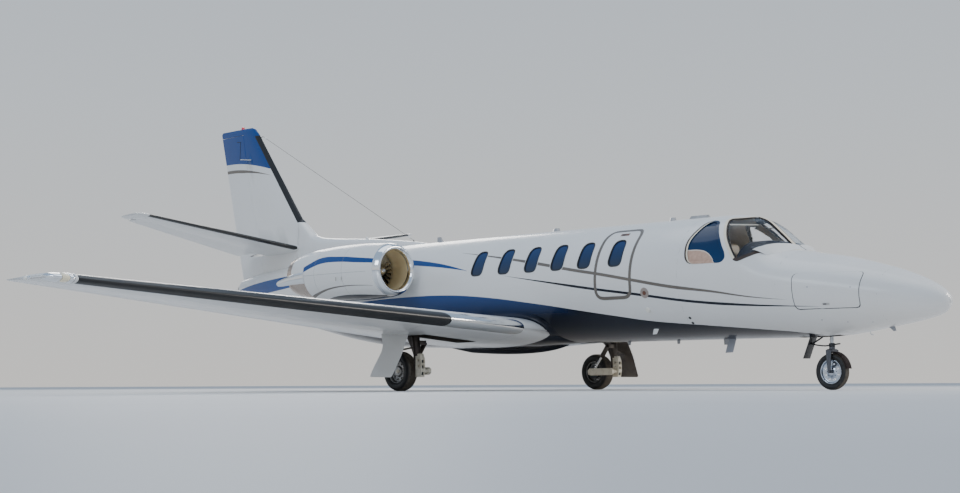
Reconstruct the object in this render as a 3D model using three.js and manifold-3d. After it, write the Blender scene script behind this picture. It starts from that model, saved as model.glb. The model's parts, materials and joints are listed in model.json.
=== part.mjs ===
// A light business jet parked on its gear: straight low wings, two engines on the rear
// fuselage, a swept fin with a low tailplane, and trailing link main gear.
// Millimetres. +X points forward, +Y to port, +Z up, and the ground is z = 0.
// "Station" is the distance aft of the nose tip; side is 1 to port and -1 to starboard.
import * as THREE from 'three';
import { mergeVertices } from 'three/addons/utils/BufferGeometryUtils.js';
import Module from 'manifold-3d';

const wasm = await Module();
wasm.setup();

// Driving dimensions
const LENGTH = 14402;
const GAP = 0.3;              // between pieces that seat on each other
const RUN = 8;                // around pieces that move
const WALL = 45;              // cabin wall with its lining
const TAIL_WALL = 12;
const FAR = 3000;             // past the outside of anything cut by a prism
const REACH = 1500;           // ahead of a hinge and aft of it, past the chord of any surface
const PIN = 9;                // radius of the hinge pins
const OUTER_SIDES = 32;       // flats round the outside of the fuselage, and round its inside
const INNER_SIDES = 20;

const NOSE_SPLIT = 700;
const COCKPIT_START = 1950;
const CABIN_START = 3430;
const CABIN_SPLIT = 5300;
const TAIL_START = 8600;
const TAIL_END = 13620;

const NOSE_WHEEL = { station: 1648, radius: 224, width: 98, axle: 20, bead: 0.67 };
const MAIN_WHEEL = { station: 7330, side: 2030, radius: 272, width: 196, axle: 30, bead: 0.6 };

const ENGINE = { side: 1250, height: 1765, lip: 8290, fanFace: 8680, cowlEnd: 10000, pipeEnd: 10520 };

// Fuselage sections: station, top, bottom, half width, height of the widest line
const BODY = [
  [0, 1062, 1018, 22, 1040],
  [20, 1106, 968, 76, 1038],
  [60, 1153, 925, 124, 1040],
  [140, 1212, 878, 196, 1046],
  [270, 1284, 842, 280, 1060],
  [470, 1372, 802, 376, 1085],
  [680, 1446, 768, 462, 1115],
  [1100, 1562, 705, 600, 1180],
  [1400, 1632, 668, 668, 1230],
  [1800, 1700, 650, 726, 1290],
  [2080, 1762, 650, 752, 1335],
  [2330, 1968, 651, 770, 1375],
  [2580, 2165, 652, 784, 1410],
  [2780, 2222, 654, 792, 1430],
  [3000, 2250, 655, 799, 1450],
  [3300, 2255, 655, 800, 1455],
  [8900, 2255, 655, 800, 1455],
  [9600, 2250, 682, 788, 1466],
  [10400, 2222, 780, 728, 1500],
  [11200, 2172, 930, 628, 1560],
  [12000, 2105, 1100, 500, 1620],
  [12800, 2035, 1280, 360, 1680],
  [13400, 1965, 1440, 240, 1710],
  [13650, 1930, 1510, 180, 1725],
];

// Cabin windows are the same on both sides, except that the starboard exit holds one
const WINDOW_STATIONS = [4505, 5058, 5552, 6057, 6576, 7120];
const WINDOW = { low: 1628, high: 1988, halfLow: 122, halfHigh: 104, corner: 80 };
const EXIT = { start: 4190, end: 4850, low: 1190, high: 2135, corner: 150 };
const CABIN_DOOR = { start: 3490, end: 4090, low: 900, high: 2150 };
const NOSE_DOOR = { start: 900, end: 1720, low: 975, high: 1400 };
const NOSE_DOOR_SKIN = 14;    // thin, so that it leaves its slanting frame freely
const TAIL_DOOR = { start: 9350, end: 10050, low: 930, high: 1330 };

// Window outlines in side view: station, height
const WINDSHIELD = [
  [2525, 1600], [2735, 1870], [2925, 2168], [2570, 2190], [2400, 2250], [1990, 1900], [2010, 1745],
  [2260, 1722],
];
const SIDE_WINDOW = [[3275, 1625], [3330, 1880], [3200, 2140], [3060, 2150], [2690, 1618]];
const POST_HALF = 28;

// Wing: span from the centreline, station and height of the leading edge, chord, thickness,
// and how far the trailing edge lies below the leading edge
const WING = [
  [480, 5926, 823, 2773, 388, 121],
  [7760, 6477, 1297, 1109, 133, -2],
  [7900, 6530, 1308, 1010, 84, -2],
  [7945, 6640, 1312, 852, 36, -2],
];
const FLAP = { from: 1080, to: 4560, cut: 0.74, atLowerSkin: true };
const AILERON = { from: 4640, to: 7440, cut: 0.74, atLowerSkin: false };

// Fin: height, station of the leading edge, chord, thickness
const FIN = [
  [1720, 11560, 2120, 233],
  [2780, 12030, 1922, 211],
  [4420, 13301, 1075, 107],
  [4520, 13400, 1002, 75],
  [4556, 13500, 870, 35],
];
const RUDDER = { low: [13040, 1790], high: [13732, 4440], noseRadii: [82, 54] };
// Spine ahead of the fin: station, top, half width
const SPINE = [
  [8850, 2240, 30],
  [9300, 2308, 95],
  [10300, 2412, 120],
  [11450, 2502, 130],
  [11700, 2555, 120],
  [11900, 2700, 100],
  [12100, 2860, 85],
];

// Tailplane: span, station and height of the leading edge, chord, thickness, trailing edge drop
const TAILPLANE = [
  [40, 12030, 2352, 1490, 142, 45],
  [2800, 12500, 2790, 640, 55, 19],
  [2880, 12540, 2801, 570, 33, 17],
  [2905, 12610, 2805, 430, 15, 13],
];
const ELEVATOR = { from: 290, to: 2700, cut: 0.64 };
const DROOP = 5.5;            // of the elevators at rest, with the controls let go

// Plain helpers for shapes
const at = (station) => LENGTH / 2 - station;
const rad = (degrees) => degrees * Math.PI / 180;

function mesh3(points, faces) {
  const geometry = new THREE.BufferGeometry();
  geometry.setAttribute('position', new THREE.Float32BufferAttribute(points.flat(), 3));
  geometry.setIndex(faces.flat());
  return geometry;
}

function solid(geometry) {
  const bare = geometry.clone();
  bare.deleteAttribute('normal');
  bare.deleteAttribute('uv');
  const merged = mergeVertices(bare, 1e-4);
  return new wasm.Manifold(new wasm.Mesh({
    numProp: 3,
    vertProperties: new Float32Array(merged.attributes.position.array),
    triVerts: new Uint32Array(merged.index.array),
  }));
}

// A solid skinned over rings of points, each with the same count, closed by a fan at each end
function loft(rings) {
  const count = rings[0].length;
  const points = rings.flat();
  const faces = [];
  for (let r = 0; r < rings.length - 1; r += 1) {
    for (let i = 0; i < count; i += 1) {
      const j = (i + 1) % count;
      const a = r * count + i;
      const b = r * count + j;
      faces.push([a, b, b + count], [a, b + count, a + count]);
    }
  }
  for (const r of [0, rings.length - 1]) {
    const centre = [0, 1, 2].map((k) => rings[r].reduce((sum, p) => sum + p[k], 0) / count);
    points.push(centre);
    const hub = points.length - 1;
    for (let i = 0; i < count; i += 1) {
      const a = r * count + i;
      const b = r * count + (i + 1) % count;
      faces.push(r === 0 ? [hub, b, a] : [hub, a, b]);
    }
  }
  const body = solid(mesh3(points, faces));
  if (body.volume() > 0) return body;
  return solid(mesh3(points, faces.map(([a, b, c]) => [a, c, b])));
}

// An outline in the plane across one axis, pushed along that axis from low to high
function prism(outline, axis, low, high) {
  const flat = outline.map(([u, v]) => new THREE.Vector2(u, v));
  if (THREE.ShapeUtils.isClockWise(flat)) flat.reverse();
  const place = (p, depth) => {
    if (axis === 'x') return [depth, p.x, p.y];
    if (axis === 'y') return [p.x, depth, p.y];
    return [p.x, p.y, depth];
  };
  const count = flat.length;
  const points = [low, high].flatMap((depth) => flat.map((p) => place(p, depth)));
  const faces = [];
  for (const [a, b, c] of THREE.ShapeUtils.triangulateShape(flat, [])) {
    faces.push([a, c, b], [a + count, b + count, c + count]);
  }
  for (let i = 0; i < count; i += 1) {
    const j = (i + 1) % count;
    faces.push([i, j, j + count], [i, j + count, i + count]);
  }
  const turned = axis === 'y' ? faces.map(([a, b, c]) => [a, c, b]) : faces;
  return solid(mesh3(points, turned));
}

// The same outline with each corner rounded by a short arc
function rounded(outline, radius, steps = 3) {
  const result = [];
  outline.forEach((corner, i) => {
    const p = new THREE.Vector2(...corner);
    const before = new THREE.Vector2(...outline[(i + outline.length - 1) % outline.length]);
    const after = new THREE.Vector2(...outline[(i + 1) % outline.length]);
    const reach = Math.min(radius, p.distanceTo(before) * 0.45, p.distanceTo(after) * 0.45);
    const start = p.clone().add(before.sub(p).setLength(reach));
    const end = p.clone().add(after.sub(p).setLength(reach));
    const curve = new THREE.QuadraticBezierCurve(start, p, end);
    for (const q of curve.getPoints(steps)) result.push([q.x, q.y]);
  });
  return result;
}

// Side view outlines are written in stations
const sideOutline = (outline, radius, steps) =>
  rounded(outline, radius, steps).map(([station, height]) => [at(station), height]);

function sidePrism(outline, side, radius, from = 0, steps = 3) {
  const ends = [side * from, side * FAR].sort((a, b) => a - b);
  return prism(sideOutline(outline, radius, steps), 'y', ends[0], ends[1]);
}

const rectangle = (u0, v0, u1, v1) => [[u0, v0], [u1, v0], [u1, v1], [u0, v1]];

function box(x0, x1, y0, y1, z0, z1) {
  return prism(rectangle(x0, y0, x1, y1), 'z', z0, z1);
}

function rod(from, to, radius, radiusTo = radius, segments = 20) {
  const a = new THREE.Vector3(...from);
  const b = new THREE.Vector3(...to);
  const along = b.clone().sub(a);
  const geometry = new THREE.CylinderGeometry(radiusTo, radius, along.length(), segments);
  const turn = new THREE.Quaternion().setFromUnitVectors(
    new THREE.Vector3(0, 1, 0),
    along.clone().normalize(),
  );
  geometry.applyQuaternion(turn);
  geometry.translate(...a.add(b).multiplyScalar(0.5).toArray());
  return solid(geometry);
}

// A closed profile of radius and place, turned about an axis along X or Y
function turned(profile, axis, centre, segments = 20) {
  const points = profile.map(([radius, place]) => new THREE.Vector2(radius, place));
  const lathe = new THREE.LatheGeometry(points, segments);
  if (axis === 'x') lathe.rotateZ(-Math.PI / 2);
  if (axis === 'z') lathe.rotateX(Math.PI / 2);
  lathe.translate(...centre);
  const body = solid(lathe);
  if (body.volume() > 0) return body;
  const flipped = lathe.toNonIndexed();
  const array = flipped.attributes.position.array;
  for (let i = 0; i < array.length; i += 9) {
    for (let k = 0; k < 3; k += 1) {
      const keep = array[i + 3 + k];
      array[i + 3 + k] = array[i + 6 + k];
      array[i + 6 + k] = keep;
    }
  }
  return solid(flipped);
}

const unite = (list) => list.reduce((all, piece) => all.add(piece));
const without = (piece, ...cutters) => cutters.reduce((left, cutter) => left.subtract(cutter), piece);

// Fuselage form
function eased(table, station, column) {
  let i = 0;
  while (i < table.length - 2 && station > table[i + 1][0]) i += 1;
  const slope = (k) => (table[k + 1][column] - table[k][column]) / (table[k + 1][0] - table[k][0]);
  const tangent = (k) => {
    if (k === 0) return slope(0);
    if (k === table.length - 1) return slope(k - 1);
    const before = slope(k - 1);
    const after = slope(k);
    return before * after > 0 ? (2 * before * after) / (before + after) : 0;
  };
  const width = table[i + 1][0] - table[i][0];
  const t = Math.min(1, Math.max(0, (station - table[i][0]) / width));
  const t2 = t * t;
  const t3 = t2 * t;
  return (2 * t3 - 3 * t2 + 1) * table[i][column]
    + (t3 - 2 * t2 + t) * width * tangent(i)
    + (3 * t2 - 2 * t3) * table[i + 1][column]
    + (t3 - t2) * width * tangent(i + 1);
}

function bodySection(station, inset, count) {
  const [top, bottom, half, middle] = [1, 2, 3, 4].map((column) => eased(BODY, station, column));
  const ring = [];
  for (let i = 0; i < count; i += 1) {
    const angle = (i + 0.5) * 2 * Math.PI / count;
    const rise = Math.sin(angle) > 0 ? top - middle : middle - bottom;
    ring.push([
      at(station),
      Math.max(1, half - inset) * Math.cos(angle),
      middle + Math.max(1, rise - inset) * Math.sin(angle),
    ]);
  }
  return ring;
}

// Rings stand at the ends and at the table's own stations between them
function bodyLoft(from, to, inset = 0, count = OUTER_SIDES) {
  const inside = BODY.map((row) => row[0]).filter((station) => station > from + 15 && station < to - 15);
  return loft([from, ...inside, to].map((station) => bodySection(station, inset, count)));
}

function shell(from, to, wall, frontWall = 0, backWall = 0) {
  const inner = bodyLoft(from + (frontWall || -40), to - (backWall || -40), wall, INNER_SIDES);
  return bodyLoft(from, to).subtract(inner);
}

const wholeBody = bodyLoft(0, 13650, -GAP);

// Half the depth of an aerofoil of unit thickness, at a share of its chord
const foilHalf = (u) => 5 * (
  0.2969 * Math.sqrt(u) - 0.126 * u - 0.3516 * u * u + 0.2843 * u ** 3 - 0.1036 * u ** 4);
const OVER_SHARE = 1.12;      // of that half above the chord line, and below it
const UNDER_SHARE = 0.88;

// Aerofoil outline: distance aft of the leading edge, height over the chord line
function foil(chord, thickness, steps = 6) {
  const half = (u) => Math.max(2, thickness * foilHalf(u));
  const upper = [];
  const lower = [];
  for (let i = 0; i <= steps; i += 1) {
    const u = 0.5 * (1 - Math.cos(Math.PI * i / steps));
    if (i === 0) {
      upper.push([0, 0]);
    } else {
      upper.push([u * chord, half(u) * OVER_SHARE]);
      lower.push([u * chord, -half(u) * UNDER_SHARE]);
    }
  }
  return [...upper.reverse(), ...lower];
}

function spanValue(table, span, column) {
  let i = 0;
  while (i < table.length - 2 && span > table[i + 1][0]) i += 1;
  const t = (span - table[i][0]) / (table[i + 1][0] - table[i][0]);
  return table[i][column] + t * (table[i + 1][column] - table[i][column]);
}

// A surface skinned over the aerofoils of a table, on one side of the aircraft
function surfaceSolid(table, side, grow = 0) {
  const rings = table.map(([span, station, height, chord, thickness, drop]) =>
    foil(chord + 2 * grow, thickness + 2 * grow).map(([aft, over]) => [
      at(station - grow + aft),
      side * span,
      height + over - aft * drop / chord,
    ]));
  return loft(rings);
}

// Hinge points of a surface at a share of the chord, with the radius that its nose needs. The
// line runs through the middle of the aerofoil, or just over its lower skin.
function surfaceHinge(table, spec, side) {
  return [spec.from, spec.to].map((span) => {
    const value = (column) => spanValue(table, span, column);
    const depth = value(4) * foilHalf(spec.cut);
    const radius = depth * (spec.atLowerSkin ? 0.3 : 1.06);
    const middle = depth * (OVER_SHARE - UNDER_SHARE) / 2;
    const over = spec.atLowerSkin ? radius - depth * UNDER_SHARE : middle;
    const point = [
      at(value(1) + spec.cut * value(3)),
      side * span,
      value(2) - spec.cut * value(5) + over,
    ];
    return { point, radius };
  });
}

// A block laid along a hinge, longer than it by a margin at both ends
function hingeBlock(hinge, margin, ahead) {
  const [a, b] = hinge.map((point) => new THREE.Vector3(...point));
  const along = b.clone().sub(a);
  const length = along.length();
  along.normalize();
  const aft = new THREE.Vector3(-1, 0, 0).addScaledVector(along, along.x).normalize();
  const up = new THREE.Vector3().crossVectors(along, aft);
  const frame = new THREE.Matrix4().makeBasis(along, aft, up).setPosition(a);
  return box(-margin, length + margin, ahead, REACH, -FAR, FAR).transform(frame.toArray());
}

// Splits a hinged surface off its carrier. Its nose is round about the hinge, and its ends are
// square to the hinge, or level.
function splitSurface(carrier, hinge, radii, level = false) {
  const [low, high] = hinge.map((point) => point[2]);
  const block = (margin, ahead) => {
    if (!level) return hingeBlock(hinge, margin, ahead);
    return hingeBlock(hinge, REACH, ahead)
      .intersect(box(-LENGTH, LENGTH, -FAR, FAR, low - margin, high + margin));
  };
  const round = (radiusA, radiusB) => {
    const [a, b] = hinge.map((point) => new THREE.Vector3(...point));
    const more = b.clone().sub(a).setLength(4 * RUN);
    return rod(a.sub(more).toArray(), b.add(more).toArray(), radiusA, radiusB, 12);
  };
  const cove = round(radii[0] + RUN, radii[1] + RUN).intersect(block(RUN, -REACH));
  const clear = block(RUN, 0).add(cove);
  const nose = round(radii[0], radii[1]);
  const surface = carrier.intersect(block(0, GAP).add(nose)).intersect(block(0, -REACH));
  const pinReach = level ? RUN - GAP - PIN * 0.27 : RUN - GAP;
  const pins = round(PIN, PIN).intersect(hingeBlock(hinge, pinReach, -REACH));
  return { surface: surface.add(pins), rest: carrier.subtract(clear), clear };
}

function turnedAbout(piece, hinge, degrees) {
  const [a, b] = hinge.map((point) => new THREE.Vector3(...point));
  const turn = new THREE.Matrix4().makeTranslation(a.x, a.y, a.z)
    .multiply(new THREE.Matrix4().makeRotationAxis(b.sub(a).normalize(), rad(degrees)))
    .multiply(new THREE.Matrix4().makeTranslation(-a.x, -a.y, -a.z));
  return piece.transform(turn.toArray());
}

// Material colours
const MATERIALS = {
  white: { color: 0xf2f1ee, roughness: 0.25, metalness: 0 },
  navy: { color: 0x1c2c50, roughness: 0.25, metalness: 0 },
  blue: { color: 0x12407c, roughness: 0.25, metalness: 0 },
  polished: { color: 0xd4d6d8, roughness: 0.15, metalness: 1 },
  grey: { color: 0x8c9094, roughness: 0.5, metalness: 0.6 },
  dark: { color: 0x2a2c30, roughness: 0.6, metalness: 0.2 },
  rubber: { color: 0x1a1a1b, roughness: 0.85, metalness: 0 },
  tan: { color: 0xb08a6e, roughness: 0.6, metalness: 0 },
  floor: { color: 0x6d6156, roughness: 0.9, metalness: 0 },
  glass: { color: 0x27496e, roughness: 0.05, metalness: 0, transparent: true, opacity: 0.4 },
};

const jet = new THREE.Group();
jet.name = 'business_jet';

function addPiece(name, piece, material) {
  const { vertProperties, triVerts } = piece.getMesh();
  const geometry = new THREE.BufferGeometry();
  geometry.setAttribute('position', new THREE.Float32BufferAttribute(Array.from(vertProperties), 3));
  geometry.setIndex(Array.from(triVerts));
  const mesh = new THREE.Mesh(geometry, new THREE.MeshStandardMaterial(MATERIALS[material]));
  mesh.name = name;
  jet.add(mesh);
}

const SIDES = [['left', 1], ['right', -1]];

// Doors are cut from the shell that carries them, seated at the hinge edge. A thin door is
// also cut back to what lies outside an inner body.
function cutDoor(carrier, door, side, radius, seat, inner) {
  const grown = {
    start: door.start - (seat === 'front' ? GAP : RUN),
    end: door.end + RUN,
    low: door.low - RUN,
    high: door.high + (seat === 'top' ? GAP : RUN),
  };
  const outline = (d) => rectangle(d.start, d.low, d.end, d.high);
  const plug = sidePrism(outline(door), side, radius, 150);
  const hole = sidePrism(outline(grown), side, radius, 150);
  const piece = carrier.intersect(plug);
  return { door: inner ? piece.subtract(inner) : piece, rest: carrier.subtract(hole) };
}

// Windows of the cabin in one shell
function windowHole(station, side, shrink = 0) {
  const outline = [
    [station - WINDOW.halfLow + shrink, WINDOW.low + shrink],
    [station - WINDOW.halfHigh + shrink, WINDOW.high - shrink],
    [station + WINDOW.halfHigh - shrink, WINDOW.high - shrink],
    [station + WINDOW.halfLow - shrink, WINDOW.low + shrink],
  ];
  return sidePrism(outline, side, WINDOW.corner, 300);
}

// Aerials: the shell that carries each, station, height of its tip, chord at the root and at
// the tip, thickness and sweep. Those above the cabin stand up, and those below it hang.
const AERIALS = [
  ['cockpit_shell', 3120, 588, 190, 130, 16, 50],
  ['cabin_shell_forward', 3480, 2292, 380, 300, 34, 40],
  ['cabin_shell_forward', 4060, 2296, 130, 90, 60, 20],
  ['cabin_shell_forward', 3980, 615, 150, 110, 24, 25],
  ['cabin_shell_forward', 4840, 615, 150, 110, 24, 25],
  ['cabin_shell_aft', 6180, 2298, 170, 120, 70, 25],
  ['tail_cone', 8625, 2332, 150, 90, 14, 55],
];
const BLADE = [[0, 0], [0.3, 1], [0.7, 0.8], [1, 0], [0.7, -0.8], [0.3, -1]];

function withAerials(name, piece) {
  const own = AERIALS.filter(([carrier]) => carrier === name);
  return unite([piece, ...own.map(([, station, tip, rootChord, tipChord, thickness, sweep]) => {
    const up = tip > ENGINE.height;
    const root = eased(BODY, station + rootChord / 2, up ? 1 : 2) + (up ? -12 : 12);
    const ring = (start, chord, half, level) =>
      BLADE.map(([aft, over]) => [at(start + aft * chord), over * half, level]);
    return loft([
      ring(station, rootChord, thickness / 2, root),
      ring(station + sweep, tipChord, thickness / 4, tip),
    ]);
  })]);
}

// Nose: radome, baggage bay with a door each side
function addNose() {
  addPiece('radome', bodyLoft(0, NOSE_SPLIT - GAP), 'white');
  let bay = shell(NOSE_SPLIT, COCKPIT_START - GAP, WALL, WALL, 0);
  const inner = bodyLoft(NOSE_SPLIT, COCKPIT_START - GAP, NOSE_DOOR_SKIN);
  for (const [name, side] of SIDES) {
    const cut = cutDoor(bay, NOSE_DOOR, side, 60, 'top', inner);
    bay = cut.rest;
    addPiece(`nose_baggage_door_${name}`, cut.door, 'white');
  }
  addPiece('nose_bay', bay, 'white');
}

// Cockpit: the pressure bulkhead closes it in front, two windshields wrap to the sides
function addCockpit() {
  let cockpit = shell(COCKPIT_START, CABIN_START - GAP, WALL, WALL, 0);
  for (const [name, side] of SIDES) {
    const panes = [
      ['windshield', WINDSHIELD, 45, POST_HALF],
      ['cockpit_window', SIDE_WINDOW, 90, 200],
    ];
    for (const [label, outline, radius, from] of panes) {
      const hole = sidePrism(outline, side, radius, from);
      const inset = sidePrism(outline, side, radius, from + GAP);
      const skin = bodyLoft(1800, CABIN_START, 8).subtract(bodyLoft(1790, CABIN_START + 10, 26));
      const pane = skin.intersect(shrinkAcross(inset));
      cockpit = cockpit.subtract(hole);
      addPiece(`${label}_${name}`, pane, 'glass');
    }
  }
  addPiece('cockpit_shell', withAerials('cockpit_shell', cockpit), 'white');
}

// A slightly smaller copy in side view, so that a pane keeps clear of its frame
function shrinkAcross(piece) {
  const bounds = piece.boundingBox();
  const middle = [0, 2].map((k) => (bounds.min[k] + bounds.max[k]) / 2);
  const scale = [0, 2].map((k) => 1 - 2 * GAP * 1.6 / (bounds.max[k] - bounds.min[k]));
  return piece
    .translate([-middle[0], 0, -middle[1]])
    .scale([scale[0], 1, scale[1]])
    .translate([middle[0], 0, middle[1]]);
}

// Cabin: two barrel lengths with the windows, the entry door and the emergency exit
function addCabin() {
  let front = shell(CABIN_START, CABIN_SPLIT - GAP, WALL);
  let back = shell(CABIN_SPLIT, TAIL_START - GAP, WALL, 0, WALL);
  const entry = cutDoor(front, CABIN_DOOR, 1, 120, 'front');
  front = entry.rest;
  addPiece('cabin_door', entry.door, 'white');
  const exitOutline = rectangle(EXIT.start, EXIT.low, EXIT.end, EXIT.high);
  const exitHole = sidePrism(exitOutline, -1, EXIT.corner, 200, 4);
  const exitPlug = shrinkAcross(exitHole);
  const exit = front.intersect(exitPlug).subtract(windowHole(WINDOW_STATIONS[0], -1));
  front = front.subtract(exitHole);
  addPiece('emergency_exit', exit, 'white');
  for (const station of WINDOW_STATIONS) {
    for (const [, side] of SIDES) {
      const hole = windowHole(station, side);
      if (station < CABIN_SPLIT) front = front.subtract(hole);
      else back = back.subtract(hole);
    }
  }
  addPiece('cabin_shell_forward', withAerials('cabin_shell_forward', front), 'white');
  addPiece('cabin_shell_aft', withAerials('cabin_shell_aft', back), 'white');
}

// Tail cone with its baggage door to port, cut away behind the fin for the rudder
function addTailCone(rudderClear) {
  const stern = bodyLoft(12800, 13590, TAIL_WALL, INNER_SIDES).intersect(box(-LENGTH, 0, -FAR, FAR, 0, 1740));
  const cone = without(shell(TAIL_START, TAIL_END, TAIL_WALL, 0, 750), rudderClear, stern);
  const cut = cutDoor(cone, TAIL_DOOR, 1, 60, 'top');
  addPiece('tail_baggage_door', cut.door, 'white');
  addPiece('tail_cone', withAerials('tail_cone', cut.rest), 'white');
}

// Belly fairing around the wing roots: station, half width, bottom
const FAIRING = [
  [5750, 220, 655],
  [6000, 450, 640],
  [6500, 600, 612],
  [7600, 600, 612],
  [8600, 450, 640],
  [9050, 220, 655],
];

function addBellyFairing() {
  const sides = 16;
  const half = 150;
  const square = (value) => Math.sign(value) * Math.abs(value) ** 0.7;
  const rings = FAIRING.map(([station, wide, bottom]) => {
    const ring = [];
    for (let i = 0; i < sides; i += 1) {
      const angle = (i + 0.5) * 2 * Math.PI / sides;
      ring.push([at(station), wide * square(Math.cos(angle)), bottom + half + half * square(Math.sin(angle))]);
    }
    return ring;
  });
  const wings = SIDES.map(([, side]) => surfaceSolid(WING, side, GAP));
  addPiece('belly_fairing', largest(without(loft(rings), wholeBody, ...wings)), 'navy');
}

function largest(piece) {
  return piece.decompose().sort((a, b) => b.volume() - a.volume())[0];
}

// Wings with a flap and an aileron each
function addWings() {
  for (const [name, side] of SIDES) {
    let wing = without(surfaceSolid(WING, side), wholeBody);
    for (const [label, spec] of [['flap', FLAP], ['aileron', AILERON]]) {
      const ends = surfaceHinge(WING, spec, side);
      const split = splitSurface(wing, ends.map((end) => end.point), ends.map((end) => end.radius));
      wing = split.rest;
      addPiece(`${label}_${name}`, largest(split.surface), 'white');
    }
    addPiece(`wing_${name}`, largest(wing), 'white');
  }
}

// The tailplane runs in one piece through the fin
function tailplaneCentre(grow = 0) {
  const [span, station, height, chord, thickness, drop] = TAILPLANE[0];
  const ring = (place) => foil(chord + 2 * grow, thickness + 2 * grow).map(([aft, over]) => [
    at(station - grow + aft),
    place,
    height + over - aft * drop / chord,
  ]);
  return loft([ring(-span - 1), ring(span + 1)]);
}

const wholeTailplane = (grow = 0) => unite([
  surfaceSolid(TAILPLANE, 1, grow),
  tailplaneCentre(grow),
  surfaceSolid(TAILPLANE, -1, grow),
]);

function addTailplane() {
  let tailplane = wholeTailplane();
  for (const [name, side] of SIDES) {
    const ends = surfaceHinge(TAILPLANE, ELEVATOR, side);
    const hinge = ends.map((end) => end.point);
    const split = splitSurface(tailplane, hinge, ends.map((end) => end.radius));
    tailplane = split.rest;
    addPiece(`elevator_${name}`, turnedAbout(largest(split.surface), hinge, -side * DROOP), 'white');
  }
  const [, station, , chord] = TAILPLANE[0];
  const inner = ELEVATOR.from - 20;
  const cutaway = box(-LENGTH, at(station + ELEVATOR.cut * chord), -inner, inner, 2000, 2600);
  addPiece('tailplane', largest(tailplane.subtract(cutaway)), 'white');
}

// The fin's sections are the same on both sides
const evenOut = (over) => over / (over > 0 ? OVER_SHARE : UNDER_SHARE);

// Fin with its spine, and the rudder
function finSolid() {
  const rings = FIN.map(([height, station, chord, thickness]) =>
    foil(chord, thickness).map(([aft, over]) => [at(station + aft), evenOut(over), height]));
  return loft(rings);
}

function spineSolid(inset = 0) {
  const rows = inset ? SPINE.slice(1, -1) : SPINE;
  const rings = rows.map(([station, crest, width]) => {
    const base = 1900;
    const top = crest - inset;
    const half = width - inset;
    const ring = [[at(station), -half * 1.5, base], [at(station), half * 1.5, base]];
    for (let i = 0; i <= 6; i += 1) {
      const angle = i * Math.PI / 6;
      ring.push([at(station), half * Math.cos(angle), top - half + half * Math.sin(angle)]);
    }
    return ring;
  });
  return loft(rings);
}

// The hollow of the fin and its spine, open downwards to the tail cone
function finHollow() {
  const wall = 22;
  const rings = FIN.slice(0, 3).map(([height, station, chord, thickness], i) =>
    foil(chord * 0.56, thickness - 2 * wall).map(([aft, over]) => [
      at(station + chord * 0.06 + aft), evenOut(over), i === 2 ? height - 150 : height,
    ]));
  return unite([loft(rings), spineSolid(wall)]);
}

// Blade aerial on each side of the fin, and the beacon on its tip
const FIN_AERIAL = { station: 13400, height: 3985, chord: 125, reach: 210, tipChord: 70, sweep: 110 };
const BEACON = { station: 13780, radius: 29, base: 4525, top: 4606 };

function finFittings() {
  const { station, height, chord, reach, tipChord, sweep } = FIN_AERIAL;
  const aerials = SIDES.map(([, side]) => {
    const ring = (start, length, half, out) =>
      BLADE.map(([aft, over]) => [at(start + aft * length), side * out, height + over * half]);
    return loft([ring(station, chord, 11, 20), ring(station + sweep, tipChord, 6, reach)]);
  });
  const { radius, base, top } = BEACON;
  const dome = [[0, base], [radius, base], [radius, top - 26], [radius * 0.75, top - 8], [0, top]];
  return [...aerials, turned(dome, 'z', [at(BEACON.station), 0, 0], 16)];
}

function addFin() {
  const whole = without(
    unite([finSolid(), spineSolid()]),
    finHollow(),
    wholeBody,
  );
  const slotted = whole.subtract(wholeTailplane(GAP));
  const hinge = [RUDDER.low, RUDDER.high].map(([station, height]) => [at(station), 0, height]);
  const split = splitSurface(slotted, hinge, RUDDER.noseRadii, true);
  addPiece('rudder', largest(split.surface), 'white');
  addPiece('fin', unite([largest(split.rest), ...finFittings()]), 'white');
  return split.clear;
}

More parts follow.
